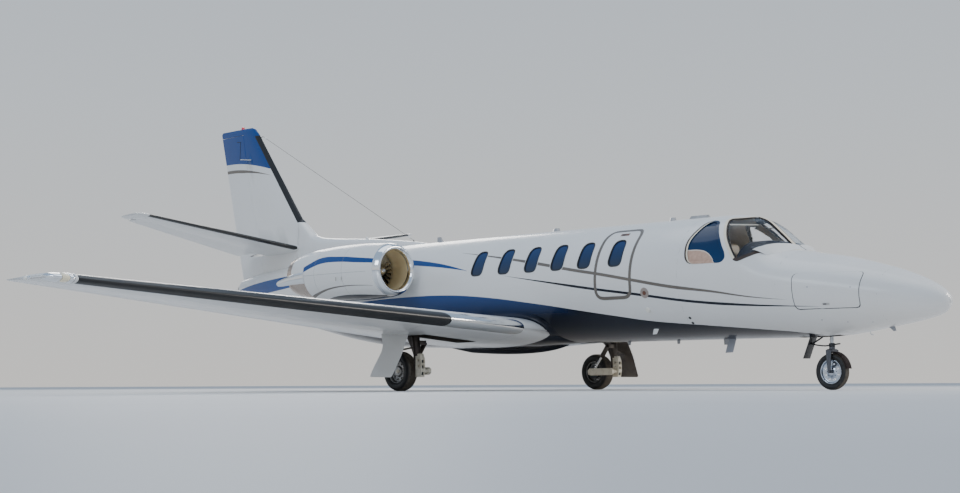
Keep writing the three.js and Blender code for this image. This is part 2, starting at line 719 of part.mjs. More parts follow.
// Nacelle: an open duct, a fan turning in it, the engine block, the jet pipe and the pylon
function addEngines() {
  const { height, lip, fanFace, cowlEnd, pipeEnd } = ENGINE;
  const outside = [
    [364, lip + 40], [400, lip + 220], [420, lip + 700], [416, lip + 1150], [388, cowlEnd],
  ];
  const duct = [
    [362, cowlEnd], [385, lip + 1150], [385, fanFace + 130], [292, fanFace + 75],
    [284, lip + 90], [296, lip + 20], [330, lip],
  ];
  const core = [
    [0, fanFace + 100], [120, fanFace + 125], [384.7, fanFace + 150], [384.7, fanFace + 370],
    [240, fanFace + 400], [240, cowlEnd - 60], [110, cowlEnd + 120], [0, cowlEnd + 200],
  ];
  const pipe = [
    [378, cowlEnd + GAP], [330, pipeEnd - 150], [292, pipeEnd], [282, pipeEnd],
    [300, pipeEnd - 160], [325, cowlEnd + GAP],
  ];
  const pipeBore = [
    [0, cowlEnd - 50], [282, cowlEnd - 50], [300, pipeEnd - 160], [282, pipeEnd],
    [282, pipeEnd + 400], [0, pipeEnd + 400],
  ];
  const pylonFoot = { span: 400, level: 1590 };
  const pylonTop = { span: ENGINE.side, level: 1730 };
  for (const [name, side] of SIDES) {
    const centre = [0, side * ENGINE.side, height];
    const along = (profile) =>
      turned(profile.map(([radius, station]) => [radius, at(station)]), 'x', centre);
    addPiece(`nacelle_${name}`, along([...outside, ...duct, outside[0]]), 'white');
    addPiece(`engine_core_${name}`, along(core), 'dark');
    addPiece(`fan_${name}`, fan(centre), 'grey');
    const jetPipe = unite([along([...pipe, pipe[0]]), stang(1, centre), stang(-1, centre)]);
    const cowlClear = along([[0, lip], [460, lip], [460, cowlEnd + GAP], [0, cowlEnd + GAP]]);
    addPiece(`jet_pipe_${name}`, largest(without(jetPipe, cowlClear, along(pipeBore))), 'polished');
    const grown = outside.map(([radius, station]) => [radius + GAP, station]);
    const nacelleOutside = along([[0, lip], ...grown, [0, cowlEnd]]);
    const section = foil(1500, 150).map(([aft, over]) => [at(8450 + aft), over]);
    const pylon = loft([pylonFoot, pylonTop].map(({ span, level }) =>
      section.map(([x, over]) => [x, side * span, level + over])));
    addPiece(`pylon_${name}`, largest(without(pylon, wholeBody, nacelleOutside)), 'white');
  }
}

// The housing beside a jet pipe: station, distance out, height over the engine's axis, half
// width and half height
const STANG = [
  [9990, 350, -47, 52, 98],
  [10300, 335, -66, 46, 80],
  [10600, 312, -100, 38, 56],
  [10720, 302, -113, 28, 40],
  [10755, 300, -116, 14, 20],
];

function stang(way, centre) {
  const sides = 12;
  const rings = STANG.map(([station, out, over, wide, high]) => {
    const ring = [];
    for (let i = 0; i < sides; i += 1) {
      const angle = i * 2 * Math.PI / sides;
      ring.push([
        at(station),
        centre[1] + way * out + wide * Math.cos(angle),
        centre[2] + over + high * Math.sin(angle),
      ]);
    }
    return ring;
  });
  return loft(rings);
}

// A hub with flat blades set at a slant
function fan(centre) {
  const face = ENGINE.fanFace;
  const hub = turned([
    [0, at(face - 130)], [50, at(face - 90)], [92, at(face)], [92, at(face + 70)],
    [60, at(face + 100 - GAP)], [0, at(face + 100 - GAP)],
  ], 'x', centre, 16);
  const count = 14;
  const twist = 0.75;
  const half = 4;
  const blades = [];
  for (let i = 0; i < count; i += 1) {
    const angle = i * 2 * Math.PI / count;
    const section = (radius, chord) => [[-chord, -half], [chord, -half], [chord, half], [-chord, half]]
      .map(([u, v]) => {
        const sideways = u * Math.sin(twist) + v * Math.cos(twist);
        return [
          at(face + 35) + u * Math.cos(twist) - v * Math.sin(twist),
          centre[1] + radius * Math.cos(angle) - sideways * Math.sin(angle),
          centre[2] + radius * Math.sin(angle) + sideways * Math.cos(angle),
        ];
      });
    blades.push(loft([section(80, 26), section(274, 34)]));
  }
  return unite([hub, ...blades]);
}

// A wheel that turns about Y: the rim with its bore, and the tyre around it
function wheelPair(spec, centre) {
  const { radius, width, axle } = spec;
  const bead = radius * spec.bead;
  const half = width / 2;
  const tyre = turned([
    [bead + GAP, -half * 0.72], [radius * 0.82, -half], [radius * 0.94, -half * 0.84], [radius, -half * 0.45],
    [radius, half * 0.45], [radius * 0.94, half * 0.84], [radius * 0.82, half], [bead + GAP, half * 0.72],
    [bead + GAP, -half * 0.72],
  ], 'y', centre, 24);
  const bore = axle + 1;
  const rim = turned([
    [bore, -half * 0.5], [bore * 2, -half * 0.5], [bead * 0.78, -half * 0.42], [bead, -half * 0.8],
    [bead, half * 0.8], [bead * 0.78, half * 0.42], [bore * 2, half * 0.5], [bore, half * 0.5], [bore, -half * 0.5],
  ], 'y', centre, 24);
  return { tyre, rim };
}

// Main gear. The leg ends in a casting just ahead of the wheel, the trailing link runs aft
// from it on the inner side with the axle, and a shock strut stands over the link. The door
// hangs from the wing outboard and slants outward on its way down.
const LEG = { pivot: [6925, 272], casting: 35, top: [7020, 20], foot: [6985, 480] };
const DOOR_HINGE = { side: 2250, height: 765, slant: 0.5 };
const DOOR_OUTLINE = [
  [6927, 820], [6905, 503], [6935, 188], [7385, 193], [7375, 325], [7334, 540], [7360, 640], [7513, 820],
];

function addMainGear() {
  const { station, side: out, radius, axle, width } = MAIN_WHEEL;
  const armOut = out - width / 2 - 44;
  const wheelX = at(station);
  const pivot = [at(LEG.pivot[0]), LEG.pivot[1]];
  const outline = (list) => list.map(([s, height]) => [at(s), height]);
  for (const [name, side] of SIDES) {
    const across = (from, to) => [side * from, side * to].sort((a, b) => a - b);
    const slab = (shape, from, to) => prism(shape, 'y', ...across(from, to));
    const { tyre, rim } = wheelPair(MAIN_WHEEL, [wheelX, side * out, radius]);
    addPiece(`main_tyre_${name}`, tyre, 'rubber');
    addPiece(`main_rim_${name}`, rim, 'grey');

    const shockTop = new THREE.Vector3(at(6990), side * armOut, 660);
    const shockFoot = new THREE.Vector3(at(7255), side * armOut, 310);
    const shockAt = (share, shift = 0) => {
      const run = shockFoot.clone().sub(shockTop);
      const more = run.clone().setLength(shift);
      return shockTop.clone().addScaledVector(run, share).add(more).toArray();
    };
    const pin = (grow) => rod(
      [pivot[0], side * armOut, pivot[1]],
      [pivot[0], side * (out + LEG.casting + 4), pivot[1]],
      26 + grow,
    );
    const link = unite([
      slab([
        [pivot[0] + 42, 248], [pivot[0] + 42, 300], [pivot[0], 326], [wheelX - 20, radius + 52],
        [wheelX - 58, radius + 15], [wheelX - 45, radius - 42], [wheelX + 10, radius - 55], [pivot[0], 222],
      ], armOut - 24, armOut + 24),
      rod([wheelX, side * armOut, radius], [wheelX, side * (out + 60), radius], axle, axle, 24),
      rod(shockAt(1), shockAt(0.46, GAP), 18, 18, 12),
      pin(0),
    ]);
    addPiece(`trailing_link_${name}`, link, 'grey');

    const casting = slab(
      outline([[6985, 505], [6900, 510], [6868, 440], [6862, 300], [6880, 190], [6985, 190]]),
      out - LEG.casting,
      out + LEG.casting,
    );
    const holes = [345, 420].map((height) =>
      box(at(6950), at(6910), ...across(out - 100, out + 100), height - 16, height + 16));
    const strut = (grow) => rod(
      [at(LEG.foot[0]), side * (out + 5), LEG.foot[1]],
      [at(LEG.top[0]), side * (out + LEG.top[1]), 900],
      52 + grow,
      60 + grow,
    );
    const leg = unite([
      strut(0),
      casting,
      rod(shockAt(0), shockAt(0.46), 36, 36, 16),
      box(at(7020), at(6960), ...across(armOut, out), 632, 690),
    ]);
    const legCut = without(leg, surfaceSolid(WING, side, GAP), pin(GAP), ...holes);
    addPiece(`main_leg_${name}`, largest(legCut), 'grey');

    const { side: hingeOut, height: hingeHeight, slant } = DOOR_HINGE;
    const upright = slab(rounded(outline(DOOR_OUTLINE), 40), hingeOut, hingeOut + 12);
    const plate = upright.transform([
      1, 0, 0, 0, 0, 1, 0, 0, 0, -side * slant, 1, 0, 0, side * slant * hingeHeight, 0, 1,
    ]);
    const stay = rod(
      [at(7000), side * (out + 30), 600],
      [at(7060), side * (hingeOut + slant * (hingeHeight - 540) + 6), 540],
      13, 13, 12,
    );
    const door = without(plate.add(stay), surfaceSolid(WING, side, GAP), strut(GAP));
    addPiece(`main_gear_door_${name}`, largest(door), 'white');
  }
}

// Nose gear: fixed leg with its lug, steered fork with a spray guard, wheel and tyre, and the
// door behind with its link to the leg
function addNoseGear() {
  const { station, radius, width, axle } = NOSE_WHEEL;
  const x = at(station);
  const { tyre, rim } = wheelPair(NOSE_WHEEL, [x, 0, radius]);
  addPiece('nose_tyre', tyre, 'rubber');
  addPiece('nose_rim', rim, 'grey');
  const collar = 525;
  const doorAt = (height) => at(1932 + (632 - height) * 0.417);
  const apex = [doorAt(565) + 12, 0, 565];
  const door = prism(
    [[doorAt(690), 690], [doorAt(690) + 14, 690], [doorAt(388) + 14, 388], [doorAt(388), 388]],
    'y', -70, 70,
  );
  const leg = unite([
    rod([x, 0, collar + GAP], [x, 0, 760], 28),
    rod([x, 0, collar + GAP], [x, 0, 572], 38),
    prism([[x, 545], [x + 118, 556], [x + 118, 566], [x, 580]], 'y', -11, 11),
    rod([x, 0, 550], apex, 8, 8, 12),
    rod(apex, [at(1750), 0, 680], 8, 8, 12),
  ]);
  const grownDoor = door.add(door.translate([GAP, 0, 0]));
  addPiece('nose_leg', largest(without(leg, wholeBody, grownDoor)), 'grey');
  addPiece('nose_gear_door', largest(without(door, wholeBody)), 'dark');
  const gapHalf = width / 2 + 15;
  const crown = [radius + 238, radius + 276];
  const legs = [-1, 1].map((side) => {
    const [low, high] = [side * gapHalf, side * (gapHalf + 20)].sort((a, b) => a - b);
    return prism([
      [x - 34, crown[1]], [x + 34, crown[1]], [x + 30, radius + 120], [x + 26, radius - 26],
      [x - 26, radius - 26], [x - 36, radius + 120],
    ], 'y', low, high);
  });
  const guard = prism([
    [x - 10, crown[0] + 14], [x + 98, crown[0] + 14], [x + 206, 382], [x + 244, 275], [x + 236, 272],
    [x + 198, 377], [x + 94, crown[0] + 6], [x - 10, crown[0] + 6],
  ], 'y', -gapHalf + 4, gapHalf - 4);
  const fork = unite([
    rod([x, 0, crown[0]], [x, 0, collar], 38),
    box(x - 44, x + 40, -gapHalf - 20, gapHalf + 20, crown[0], crown[1]),
    ...legs,
    guard,
    rod([x, -gapHalf - 1, radius], [x, gapHalf + 1, radius], axle, axle, 24),
  ]);
  addPiece('nose_fork', fork, 'grey');
}

// Inside: floor, glareshield with its panel, seats
function seat(station, y, facing, floor) {
  const x = at(station);
  const f = facing;
  const across = [y - 205, y + 205];
  const side = [
    [x + f * 250, floor], [x + f * 250, floor + 410], [x - f * 170, floor + 400], [x - f * 270, floor + 980],
    [x - f * 370, floor + 970], [x - f * 280, floor + 300], [x - f * 200, floor],
  ];
  return prism(side, 'y', across[0], across[1]);
}

function addInside() {
  const floorTop = 960;
  const plank = box(at(8420), at(2090), -560, 560, floorTop - 35, floorTop);
  addPiece('cabin_floor', plank.intersect(bodyLoft(COCKPIT_START, TAIL_START, WALL + GAP, INNER_SIDES)), 'floor');
  const panel = prism(
    [[at(2270), floorTop + GAP], [at(2230), 1560], [at(2200), 1640], [at(2540), 1668], [at(2540), 1630],
      [at(2440), 1600], [at(2420), floorTop + GAP]],
    'y', -600, 600,
  );
  addPiece('instrument_panel', panel.intersect(bodyLoft(COCKPIT_START, TAIL_START, WALL + 30, INNER_SIDES)), 'dark');
  const rows = [
    ['crew_seat', 3050, 1, 285],
    ['cabin_seat_front', 5150, -1, 285],
    ['cabin_seat_rear', 6450, 1, 285],
  ];
  for (const [label, station, facing, out] of rows) {
    for (const [name, side] of SIDES) {
      addPiece(`${label}_${name}`, seat(station, side * out, facing, floorTop + GAP), 'tan');
    }
  }
}

addNose();
addCockpit();
addCabin();
addBellyFairing();
addWings();
addTailplane();
addTailCone(addFin());
addEngines();
addMainGear();
addNoseGear();
addInside();

export default jet;
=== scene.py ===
# %% [markdown]
# A light business jet, dressed step by step
#
# The solids of the aircraft are already fixed: every panel, wheel and hinge is in its place. This
# lesson gives them their looks. A faceted solid is cut finer and laid onto the smooth form that it
# stands for, small parts are built as meshes, and every finish is a procedural material.
# All lengths are metres: +X runs forward, +Y to port and +Z up. A "station" is the distance aft of
# the nose tip, the way aircraft builders count it.

import json
import math

import bmesh
import bpy
import numpy as np
from mathutils import Matrix, Vector


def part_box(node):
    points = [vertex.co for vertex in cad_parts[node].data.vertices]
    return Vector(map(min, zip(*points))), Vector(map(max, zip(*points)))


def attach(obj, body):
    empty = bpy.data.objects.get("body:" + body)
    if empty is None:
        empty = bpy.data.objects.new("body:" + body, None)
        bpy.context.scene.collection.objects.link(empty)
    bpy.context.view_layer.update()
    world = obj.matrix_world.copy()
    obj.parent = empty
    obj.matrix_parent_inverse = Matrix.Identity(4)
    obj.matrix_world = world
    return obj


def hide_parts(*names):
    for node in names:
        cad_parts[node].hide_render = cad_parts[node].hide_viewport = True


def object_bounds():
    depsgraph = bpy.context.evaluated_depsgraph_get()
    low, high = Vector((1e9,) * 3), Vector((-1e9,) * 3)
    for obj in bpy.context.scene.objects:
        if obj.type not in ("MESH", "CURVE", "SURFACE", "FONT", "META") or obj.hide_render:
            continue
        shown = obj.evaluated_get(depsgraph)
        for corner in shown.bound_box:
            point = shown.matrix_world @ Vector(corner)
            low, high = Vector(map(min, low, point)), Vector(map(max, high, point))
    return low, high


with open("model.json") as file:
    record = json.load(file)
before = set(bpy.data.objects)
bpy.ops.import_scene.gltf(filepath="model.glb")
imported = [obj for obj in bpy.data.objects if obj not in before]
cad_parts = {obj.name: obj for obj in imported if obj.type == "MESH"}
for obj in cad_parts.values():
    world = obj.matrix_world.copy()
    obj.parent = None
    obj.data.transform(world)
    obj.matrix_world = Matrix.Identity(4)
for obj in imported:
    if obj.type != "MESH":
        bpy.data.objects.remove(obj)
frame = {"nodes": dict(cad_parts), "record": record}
CAD_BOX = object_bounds()
NOSE_X = (CAD_BOX[1] - CAD_BOX[0]).x / 2      # the nose tip stands half a length ahead of the origin
SIDES = (("left", 1), ("right", -1))


def at(station):
    return NOSE_X - station


# %% [markdown]
# The camera
#
# The photograph was taken from far ahead of the right wing, almost from the ground, with a mild
# telephoto lens. A long lens from far away keeps the nose from swelling, so the place, the tilt and
# the focal length belong together: changing one alone would bend the proportions.

# %% Place the camera
CAMERA = {"place": (17.579, -17.705, 0.087), "yaw": 45.81, "pitch": 4.62, "roll": -0.26, "lens": 64.0}


def place_camera(view):
    yaw, pitch, roll = (math.radians(view[k]) for k in ("yaw", "pitch", "roll"))
    ahead = Vector((-math.sin(yaw) * math.cos(pitch), math.cos(yaw) * math.cos(pitch), math.sin(pitch)))
    level = Vector((math.cos(yaw), math.sin(yaw), 0))
    upright = level.cross(ahead)
    right = level * math.cos(roll) + upright * math.sin(roll)
    up = upright * math.cos(roll) - level * math.sin(roll)
    data = bpy.data.cameras.new("camera")
    data.lens = view["lens"]
    data.sensor_width = 36
    data.clip_end = 400
    camera = bpy.data.objects.new("camera", data)
    turn = Matrix((right, up, -ahead)).transposed().to_4x4()
    camera.matrix_world = Matrix.Translation(view["place"]) @ turn
    bpy.context.scene.collection.objects.link(camera)
    bpy.context.scene.camera = camera
    return camera


camera = place_camera(CAMERA)
print("camera", [round(v, 2) for v in camera.location], "lens", camera.data.lens)

# %% [markdown]
# Light
#
# Glossy paint shows what stands around it, so the light of a studio is really a set of large bright
# shapes. One wide key light stands high ahead on the far side, like the low sun in the photograph,
# a broad cool one fills the near side, and the pale world does the rest. The floor comes last.

# %% Lights and world
LIGHTS = (
    # name, place, aimed at, width, height, watts, colour
    ("key", (16, 13, 12), (2, 0, 1.5), 9, 6, 2600, (1.0, 0.93, 0.84)),
    ("fill", (2, -24, 13), (0, 0, 1.2), 18, 7, 1500, (0.82, 0.9, 1.0)),
    ("rear", (-20, 10, 11), (-4, 0, 2), 12, 6, 1300, (1.0, 0.96, 0.9)),
    ("top", (0, 0, 17), (0, 0, 0), 18, 12, 900, (0.94, 0.97, 1.0)),
)


def area_light(name, place, target, width, height, watts, colour):
    data = bpy.data.lights.new(name, "AREA")
    data.shape = "RECTANGLE"
    data.size, data.size_y = width, height
    data.energy = watts
    data.color = colour
    light = bpy.data.objects.new(name, data)
    light.location = place
    light.rotation_euler = (Vector(target) - Vector(place)).to_track_quat("-Z", "Y").to_euler()
    bpy.context.scene.collection.objects.link(light)


for row in LIGHTS:
    area_light(*row)


def pale_world():
    world = bpy.data.worlds.new("studio")
    bpy.context.scene.world = world
    world.use_nodes = True
    tree = world.node_tree
    background = tree.nodes["Background"]
    spot = tree.nodes.new("ShaderNodeTexCoord")
    split = tree.nodes.new("ShaderNodeSeparateXYZ")
    ramp = tree.nodes.new("ShaderNodeValToRGB")
    tree.links.new(spot.outputs["Generated"], split.inputs[0])
    tree.links.new(split.outputs["Z"], ramp.inputs[0])
    low, high = ramp.color_ramp.elements
    low.position, low.color = 0.0, (0.86, 0.84, 0.81, 1)
    high.position, high.color = 0.6, (0.42, 0.55, 0.74, 1)
    middle = ramp.color_ramp.elements.new(0.16)
    middle.color = (0.74, 0.79, 0.84, 1)
    tree.links.new(ramp.outputs[0], background.inputs["Color"])
    background.inputs["Strength"].default_value = 0.9


pale_world()
print(len(LIGHTS), "area lights and a pale world")

# %% [markdown]
# Materials from nodes
#
# Each finish is a small node tree around one Principled shader. A helper class keeps the scripts
# short: it adds a node, links whatever is handed to it, and gives the output back, so that a
# material reads like a formula. The object coordinate is used as the place on the aircraft, because
# every mesh is stored where it sits, so a paint line runs on from one panel to the next.

# %% A small helper for node trees
SOCKETS = {"ior": "IOR", "specular_ior_level": "Specular IOR Level"}


class Nodes:
    def __init__(self, name):
        self.material = bpy.data.materials.new(name)
        self.material.use_nodes = True
        self.tree = self.material.node_tree
        self.shader = self.tree.nodes["Principled BSDF"]
        self.place = None

    def add(self, kind, *inputs, output=0, **settings):
        node = self.tree.nodes.new("ShaderNode" + kind)
        for key, value in settings.items():
            setattr(node, key, value)
        for socket, value in zip(node.inputs, inputs):
            self.feed(socket, value)
        return node.outputs[output]

    def feed(self, socket, value):
        if value is None:
            return
        if isinstance(value, bpy.types.NodeSocket):
            self.tree.links.new(value, socket)
        else:
            socket.default_value = value

    def math(self, operation, *inputs):
        return self.add("Math", *inputs, operation=operation)

    def where(self):
        if self.place is None:
            self.place = self.add("TexCoord", output="Object")
        return self.place

    def axes(self):
        node = self.tree.nodes.new("ShaderNodeSeparateXYZ")
        self.feed(node.inputs[0], self.where())
        return node.outputs

    def side_view(self):
        """Station, distance to port and height."""
        x, y, z = self.axes()
        return self.math("SUBTRACT", NOSE_X, x), y, z

    def noise(self, scale, detail=2.0, stretch=None):
        place = self.where()
        if stretch:
            place = self.add("Mapping", place, None, None, stretch)
        node = self.tree.nodes.new("ShaderNodeTexNoise")
        self.feed(node.inputs["Vector"], place)
        node.inputs["Scale"].default_value = scale
        node.inputs["Detail"].default_value = detail
        return node.outputs["Fac"]

    def between(self, value, low, high, to_low=0.0, to_high=1.0):
        return self.add("MapRange", value, low, high, to_low, to_high)

    def mix(self, share, first, second):
        node = self.tree.nodes.new("ShaderNodeMix")
        node.data_type = "RGBA"
        self.feed(node.inputs[0], share)
        self.feed(node.inputs[6], first)
        self.feed(node.inputs[7], second)
        return node.outputs[2]

    def bump(self, height, strength, distance=0.001):
        node = self.tree.nodes.new("ShaderNodeBump")
        node.inputs["Strength"].default_value = strength
        node.inputs["Distance"].default_value = distance
        self.feed(node.inputs["Height"], height)
        self.feed(self.shader.inputs["Normal"], node.outputs[0])

    def set(self, **values):
        for key, value in values.items():
            self.feed(self.shader.inputs[SOCKETS.get(key, key.replace("_", " ").title())], value)
        return self.material

    def curve(self, value, points, low, high):
        """A drawn curve: what a station's height is, both scaled to the span of the aircraft."""
        span = (points[0][0], points[-1][0])
        share = self.add("MapRange", value, span[0], span[1], 0.0, 1.0)
        node = self.tree.nodes.new("ShaderNodeFloatCurve")
        line = node.mapping.curves[0]
        scaled = [((s - span[0]) / (span[1] - span[0]), (v - low) / (high - low)) for s, v in points]
        line.points[0].location = scaled[0]
        line.points[1].location = scaled[-1]
        for spot in scaled[1:-1]:
            line.points.new(*spot)
        node.mapping.update()
        self.feed(node.inputs["Value"], share)
        return self.add("MapRange", node.outputs[0], 0.0, 1.0, low, high)


print("node helper ready")

# %% [markdown]
# The paint scheme
#
# A painter masks such a scheme in side view, so each edge is a curve that gives a height for each
# station, the same on both sides. A Float Curve node draws it, and comparing it with the height on
# the skin gives a mask with a perfectly sharp edge at any size. Where the fuselage is white and where
# it is blue is then a few masks added up: the belly, the spear through the engine, a thin pinstripe,
# and a warm grey stripe that climbs through the window line.

# %% Paint colours and curves
WHITE = (0.80, 0.79, 0.77, 1)
BLUE = (0.001, 0.052, 0.225, 1)
# NAVY also stands for the blue in shade, as painted shade on the belly and under the cowls.
NAVY = (0.002, 0.005, 0.014, 1)
TAUPE = (0.16, 0.14, 0.12, 1)
# station, height
BELLY_EDGE = ((1.60, 0.655), (1.82, 0.697), (2.49, 0.763), (3.13, 0.819), (4.03, 0.902), (4.59, 0.983),
              (5.17, 1.071), (5.99, 1.196), (7.19, 1.342), (7.81, 1.380), (8.49, 1.385), (9.6, 1.36),
              (11.0, 1.30), (12.6, 1.25), (13.7, 1.2))
SPEAR_TOP = ((7.33, 1.718), (8.28, 1.905), (9.2, 1.985), (10.2, 1.965), (11.5, 1.895), (12.25, 1.857),
             (13.14, 1.783), (13.7, 1.70))
SPEAR_LOW = ((7.33, 1.716), (8.28, 1.835), (9.2, 1.90), (10.2, 1.86), (11.5, 1.70), (12.25, 1.64),
             (13.14, 1.58), (13.7, 1.50))
PINSTRIPE = ((1.357, 0.995), (1.821, 1.016), (2.381, 1.047), (3.24, 1.123), (4.163, 1.253), (4.863, 1.348),
             (5.738, 1.481), (6.60, 1.612))
GREY_STRIPE = ((1.80, 1.090), (2.345, 1.147), (2.902, 1.235), (3.545, 1.322), (4.223, 1.444), (4.751, 1.540),
               (5.25, 1.622), (5.778, 1.719), (6.402, 1.825), (6.926, 1.905), (7.65, 2.005))


def paint(nodes, scheme=None):
    """Fills in the look of polished aircraft enamel, with the scheme's masks if it has one."""
    soil = nodes.noise(1.3, 4.0)
    white = nodes.mix(nodes.between(soil, 0.35, 0.75, 0.0, 0.35), WHITE, (0.74, 0.725, 0.695, 1))
    colour = scheme(nodes, white) if scheme else white
    fine = nodes.noise(260, 2.0)
    nodes.bump(fine, 0.03, 0.0004)
    rough = nodes.between(nodes.noise(5.0, 3.0), 0.3, 0.7, 0.17, 0.25)
    return nodes.set(base_color=colour, roughness=rough, coat_weight=0.25, coat_roughness=0.04,
                     specular_ior_level=0.3)


def belly_blue_with_painted_shade(nodes, station, height):
    """The blue darkens to navy along the belly, where it turns away from the light: painted shade."""
    forward = nodes.between(station, 6.9, 5.2)
    low = nodes.between(height, 1.42, 1.0)
    dark = nodes.math("MAXIMUM", forward, low)
    return nodes.mix(dark, BLUE, NAVY)


def over(nodes, colour, mask, coat):
    return nodes.mix(mask, colour, coat)


def inside(nodes, value, low, high):
    """1 between two heights, 0 elsewhere."""
    above = nodes.math("GREATER_THAN", value, low)
    return nodes.math("MULTIPLY", above, nodes.math("LESS_THAN", value, high))


def stripe(nodes, station, height, line, half, taper=0.9):
    """A stripe about a curve that thins out to nothing at both ends."""
    middle = nodes.curve(station, line, 0.5, 2.5)
    start = nodes.between(station, line[0][0], line[0][0] + taper)
    end = nodes.between(station, line[-1][0], line[-1][0] - taper)
    width = nodes.math("MULTIPLY", nodes.math("MULTIPLY", start, end), half)
    off = nodes.math("ABSOLUTE", nodes.math("SUBTRACT", height, middle))
    return nodes.math("LESS_THAN", off, width)


def fuselage_scheme(nodes, white):
    station, y, height = nodes.side_view()
    blue = belly_blue_with_painted_shade(nodes, station, height)
    colour = over(nodes, white, stripe(nodes, station, height, GREY_STRIPE, 0.021, 1.6), TAUPE)
    colour = over(nodes, colour, stripe(nodes, station, height, PINSTRIPE, 0.017, 1.4), NAVY)
    below = nodes.math("LESS_THAN", height, nodes.curve(station, BELLY_EDGE, 0.5, 2.5))
    aft_of_nose = nodes.math("GREATER_THAN", station, BELLY_EDGE[0][0])
    colour = over(nodes, colour, nodes.math("MULTIPLY", below, aft_of_nose), blue)
    low = nodes.curve(station, SPEAR_LOW, 0.5, 2.5)
    high = nodes.curve(station, SPEAR_TOP, 0.5, 2.5)
    aft_of_tip = nodes.math("GREATER_THAN", station, SPEAR_LOW[0][0])
    spear = nodes.math("MULTIPLY", inside(nodes, height, low, high), aft_of_tip)
    return over(nodes, colour, spear, BLUE)


def plain_paint(name, colour):
    return paint(Nodes(name), lambda nodes, white: colour)


fuselage_paint = paint(Nodes("fuselage_paint"), fuselage_scheme)
white_paint = paint(Nodes("white_paint"))
blue_paint = plain_paint("blue_paint", BLUE)
print("paint:", fuselage_paint.name, "has", len(fuselage_paint.node_tree.nodes), "nodes")

# %% [markdown]
# The smooth form of the fuselage
#
# A fuselage is lofted: a few frames are drawn to size and the skin runs fair through them. Each frame
# here is two half ellipses that share a width, one above the widest line and one below it. Between
# the frames the four numbers are eased with a cubic that never overshoots, so no wave can appear in
# the skin. That one function gives every panel, pane and door the same form.

# %% Frames of the fuselage and the eased form between them
BODY = np.array([
    # station, top, bottom, half width, height of the widest line
    (0.000, 1.062, 1.018, 0.022, 1.040), (0.020, 1.106, 0.968, 0.076, 1.038),
    (0.060, 1.153, 0.925, 0.124, 1.040), (0.140, 1.212, 0.878, 0.196, 1.046),
    (0.270, 1.284, 0.842, 0.280, 1.060), (0.470, 1.372, 0.802, 0.376, 1.085),
    (0.680, 1.446, 0.768, 0.462, 1.115), (1.100, 1.562, 0.705, 0.600, 1.180),
    (1.400, 1.632, 0.668, 0.668, 1.230), (1.800, 1.700, 0.650, 0.726, 1.290),
    (2.080, 1.762, 0.650, 0.752, 1.335), (2.330, 1.968, 0.651, 0.770, 1.375),
    (2.580, 2.165, 0.652, 0.784, 1.410), (2.780, 2.222, 0.654, 0.792, 1.430),
    (3.000, 2.250, 0.655, 0.799, 1.450), (3.300, 2.255, 0.655, 0.800, 1.455),
    (8.900, 2.255, 0.655, 0.800, 1.455), (9.600, 2.250, 0.682, 0.788, 1.466),
    (10.40, 2.222, 0.780, 0.728, 1.500), (11.20, 2.172, 0.930, 0.628, 1.560),
    (12.00, 2.105, 1.100, 0.500, 1.620), (12.80, 2.035, 1.280, 0.360, 1.680),
    (13.40, 1.965, 1.440, 0.240, 1.710), (13.65, 1.930, 1.510, 0.180, 1.725),
])
CAD_FLATS = 32                  # the solid's frames are drawn with this many flats
SNAP = 0.006                    # what lies this close to the skin is moved onto it
ON_SKIN = 0.0012                # how far a point's share may be from 1 when it lies on the skin


def eased(table, value, column):
    """Smooth values of one column of a table, which never overshoot the rows."""
    x, v = table[:, 0], table[:, column]
    slope = np.diff(v) / np.diff(x)
    tangent = np.zeros(len(x))
    tangent[0], tangent[-1] = slope[0], slope[-1]
    product = slope[:-1] * slope[1:]
    both = np.where(product > 0, slope[:-1] + slope[1:], 1)
    tangent[1:-1] = np.where(product > 0, 2 * product / both, 0)
    i = np.clip(np.searchsorted(x, value, side="right") - 1, 0, len(x) - 2)
    width = x[i + 1] - x[i]
    t = np.clip((value - x[i]) / width, 0, 1)
    return ((2 * t**3 - 3 * t**2 + 1) * v[i] + (t**3 - 2 * t**2 + t) * width * tangent[i]
            + (3 * t**2 - 2 * t**3) * v[i + 1] + (t**3 - t**2) * width * tangent[i + 1])


def frame_at(station, smooth=True):
    """Top, bottom, half width and height of the widest line."""
    if smooth:
        return [eased(BODY, station, k) for k in (1, 2, 3, 4)]
    return [np.interp(station, BODY[:, 0], BODY[:, k]) for k in (1, 2, 3, 4)]


def polar(points, smooth=True):
    """Angle and share of the way out to the skin, both seen in the frame's own ellipses."""
    top, bottom, half, middle = frame_at(NOSE_X - points[:, 0], smooth)
    rise = np.where(points[:, 2] > middle, top - middle, middle - bottom)
    across, up = points[:, 1] / half, (points[:, 2] - middle) / rise
    return np.arctan2(up, across), np.hypot(across, up)


def skin_point(station, angle, out=1.0, lift=0.0):
    """A point of the skin, or at a share of the way to it, lifted by metres."""
    top, bottom, half, middle = frame_at(np.asarray(station, float))
    rise = np.where(np.sin(angle) > 0, top - middle, middle - bottom)
    return np.stack(np.broadcast_arrays(
        NOSE_X - station,
        (half * out + lift) * np.cos(angle),
        middle + (rise * out + lift) * np.sin(angle)), axis=-1)


def onto_body(points, snap=SNAP):
    """Moves points of the flat-sided solid onto the smooth form, inner walls along with it."""
    angle, out = polar(points, smooth=False)
    flat = 2 * math.pi / CAD_FLATS
    off = np.mod(angle + flat / 2, flat) - flat / 2
    out = out * np.cos(off) / math.cos(flat / 2)
    out = np.where(np.abs(out - 1) < snap, 1, out)
    top, bottom, half, middle = frame_at(NOSE_X - points[:, 0])
    rise = np.where(np.sin(angle) > 0, top - middle, middle - bottom)
    moved = points.copy()
    moved[:, 1] = half * out * np.cos(angle)
    moved[:, 2] = middle + rise * out * np.sin(angle)
    return moved


def body_level(points):
    return polar(points)[1]


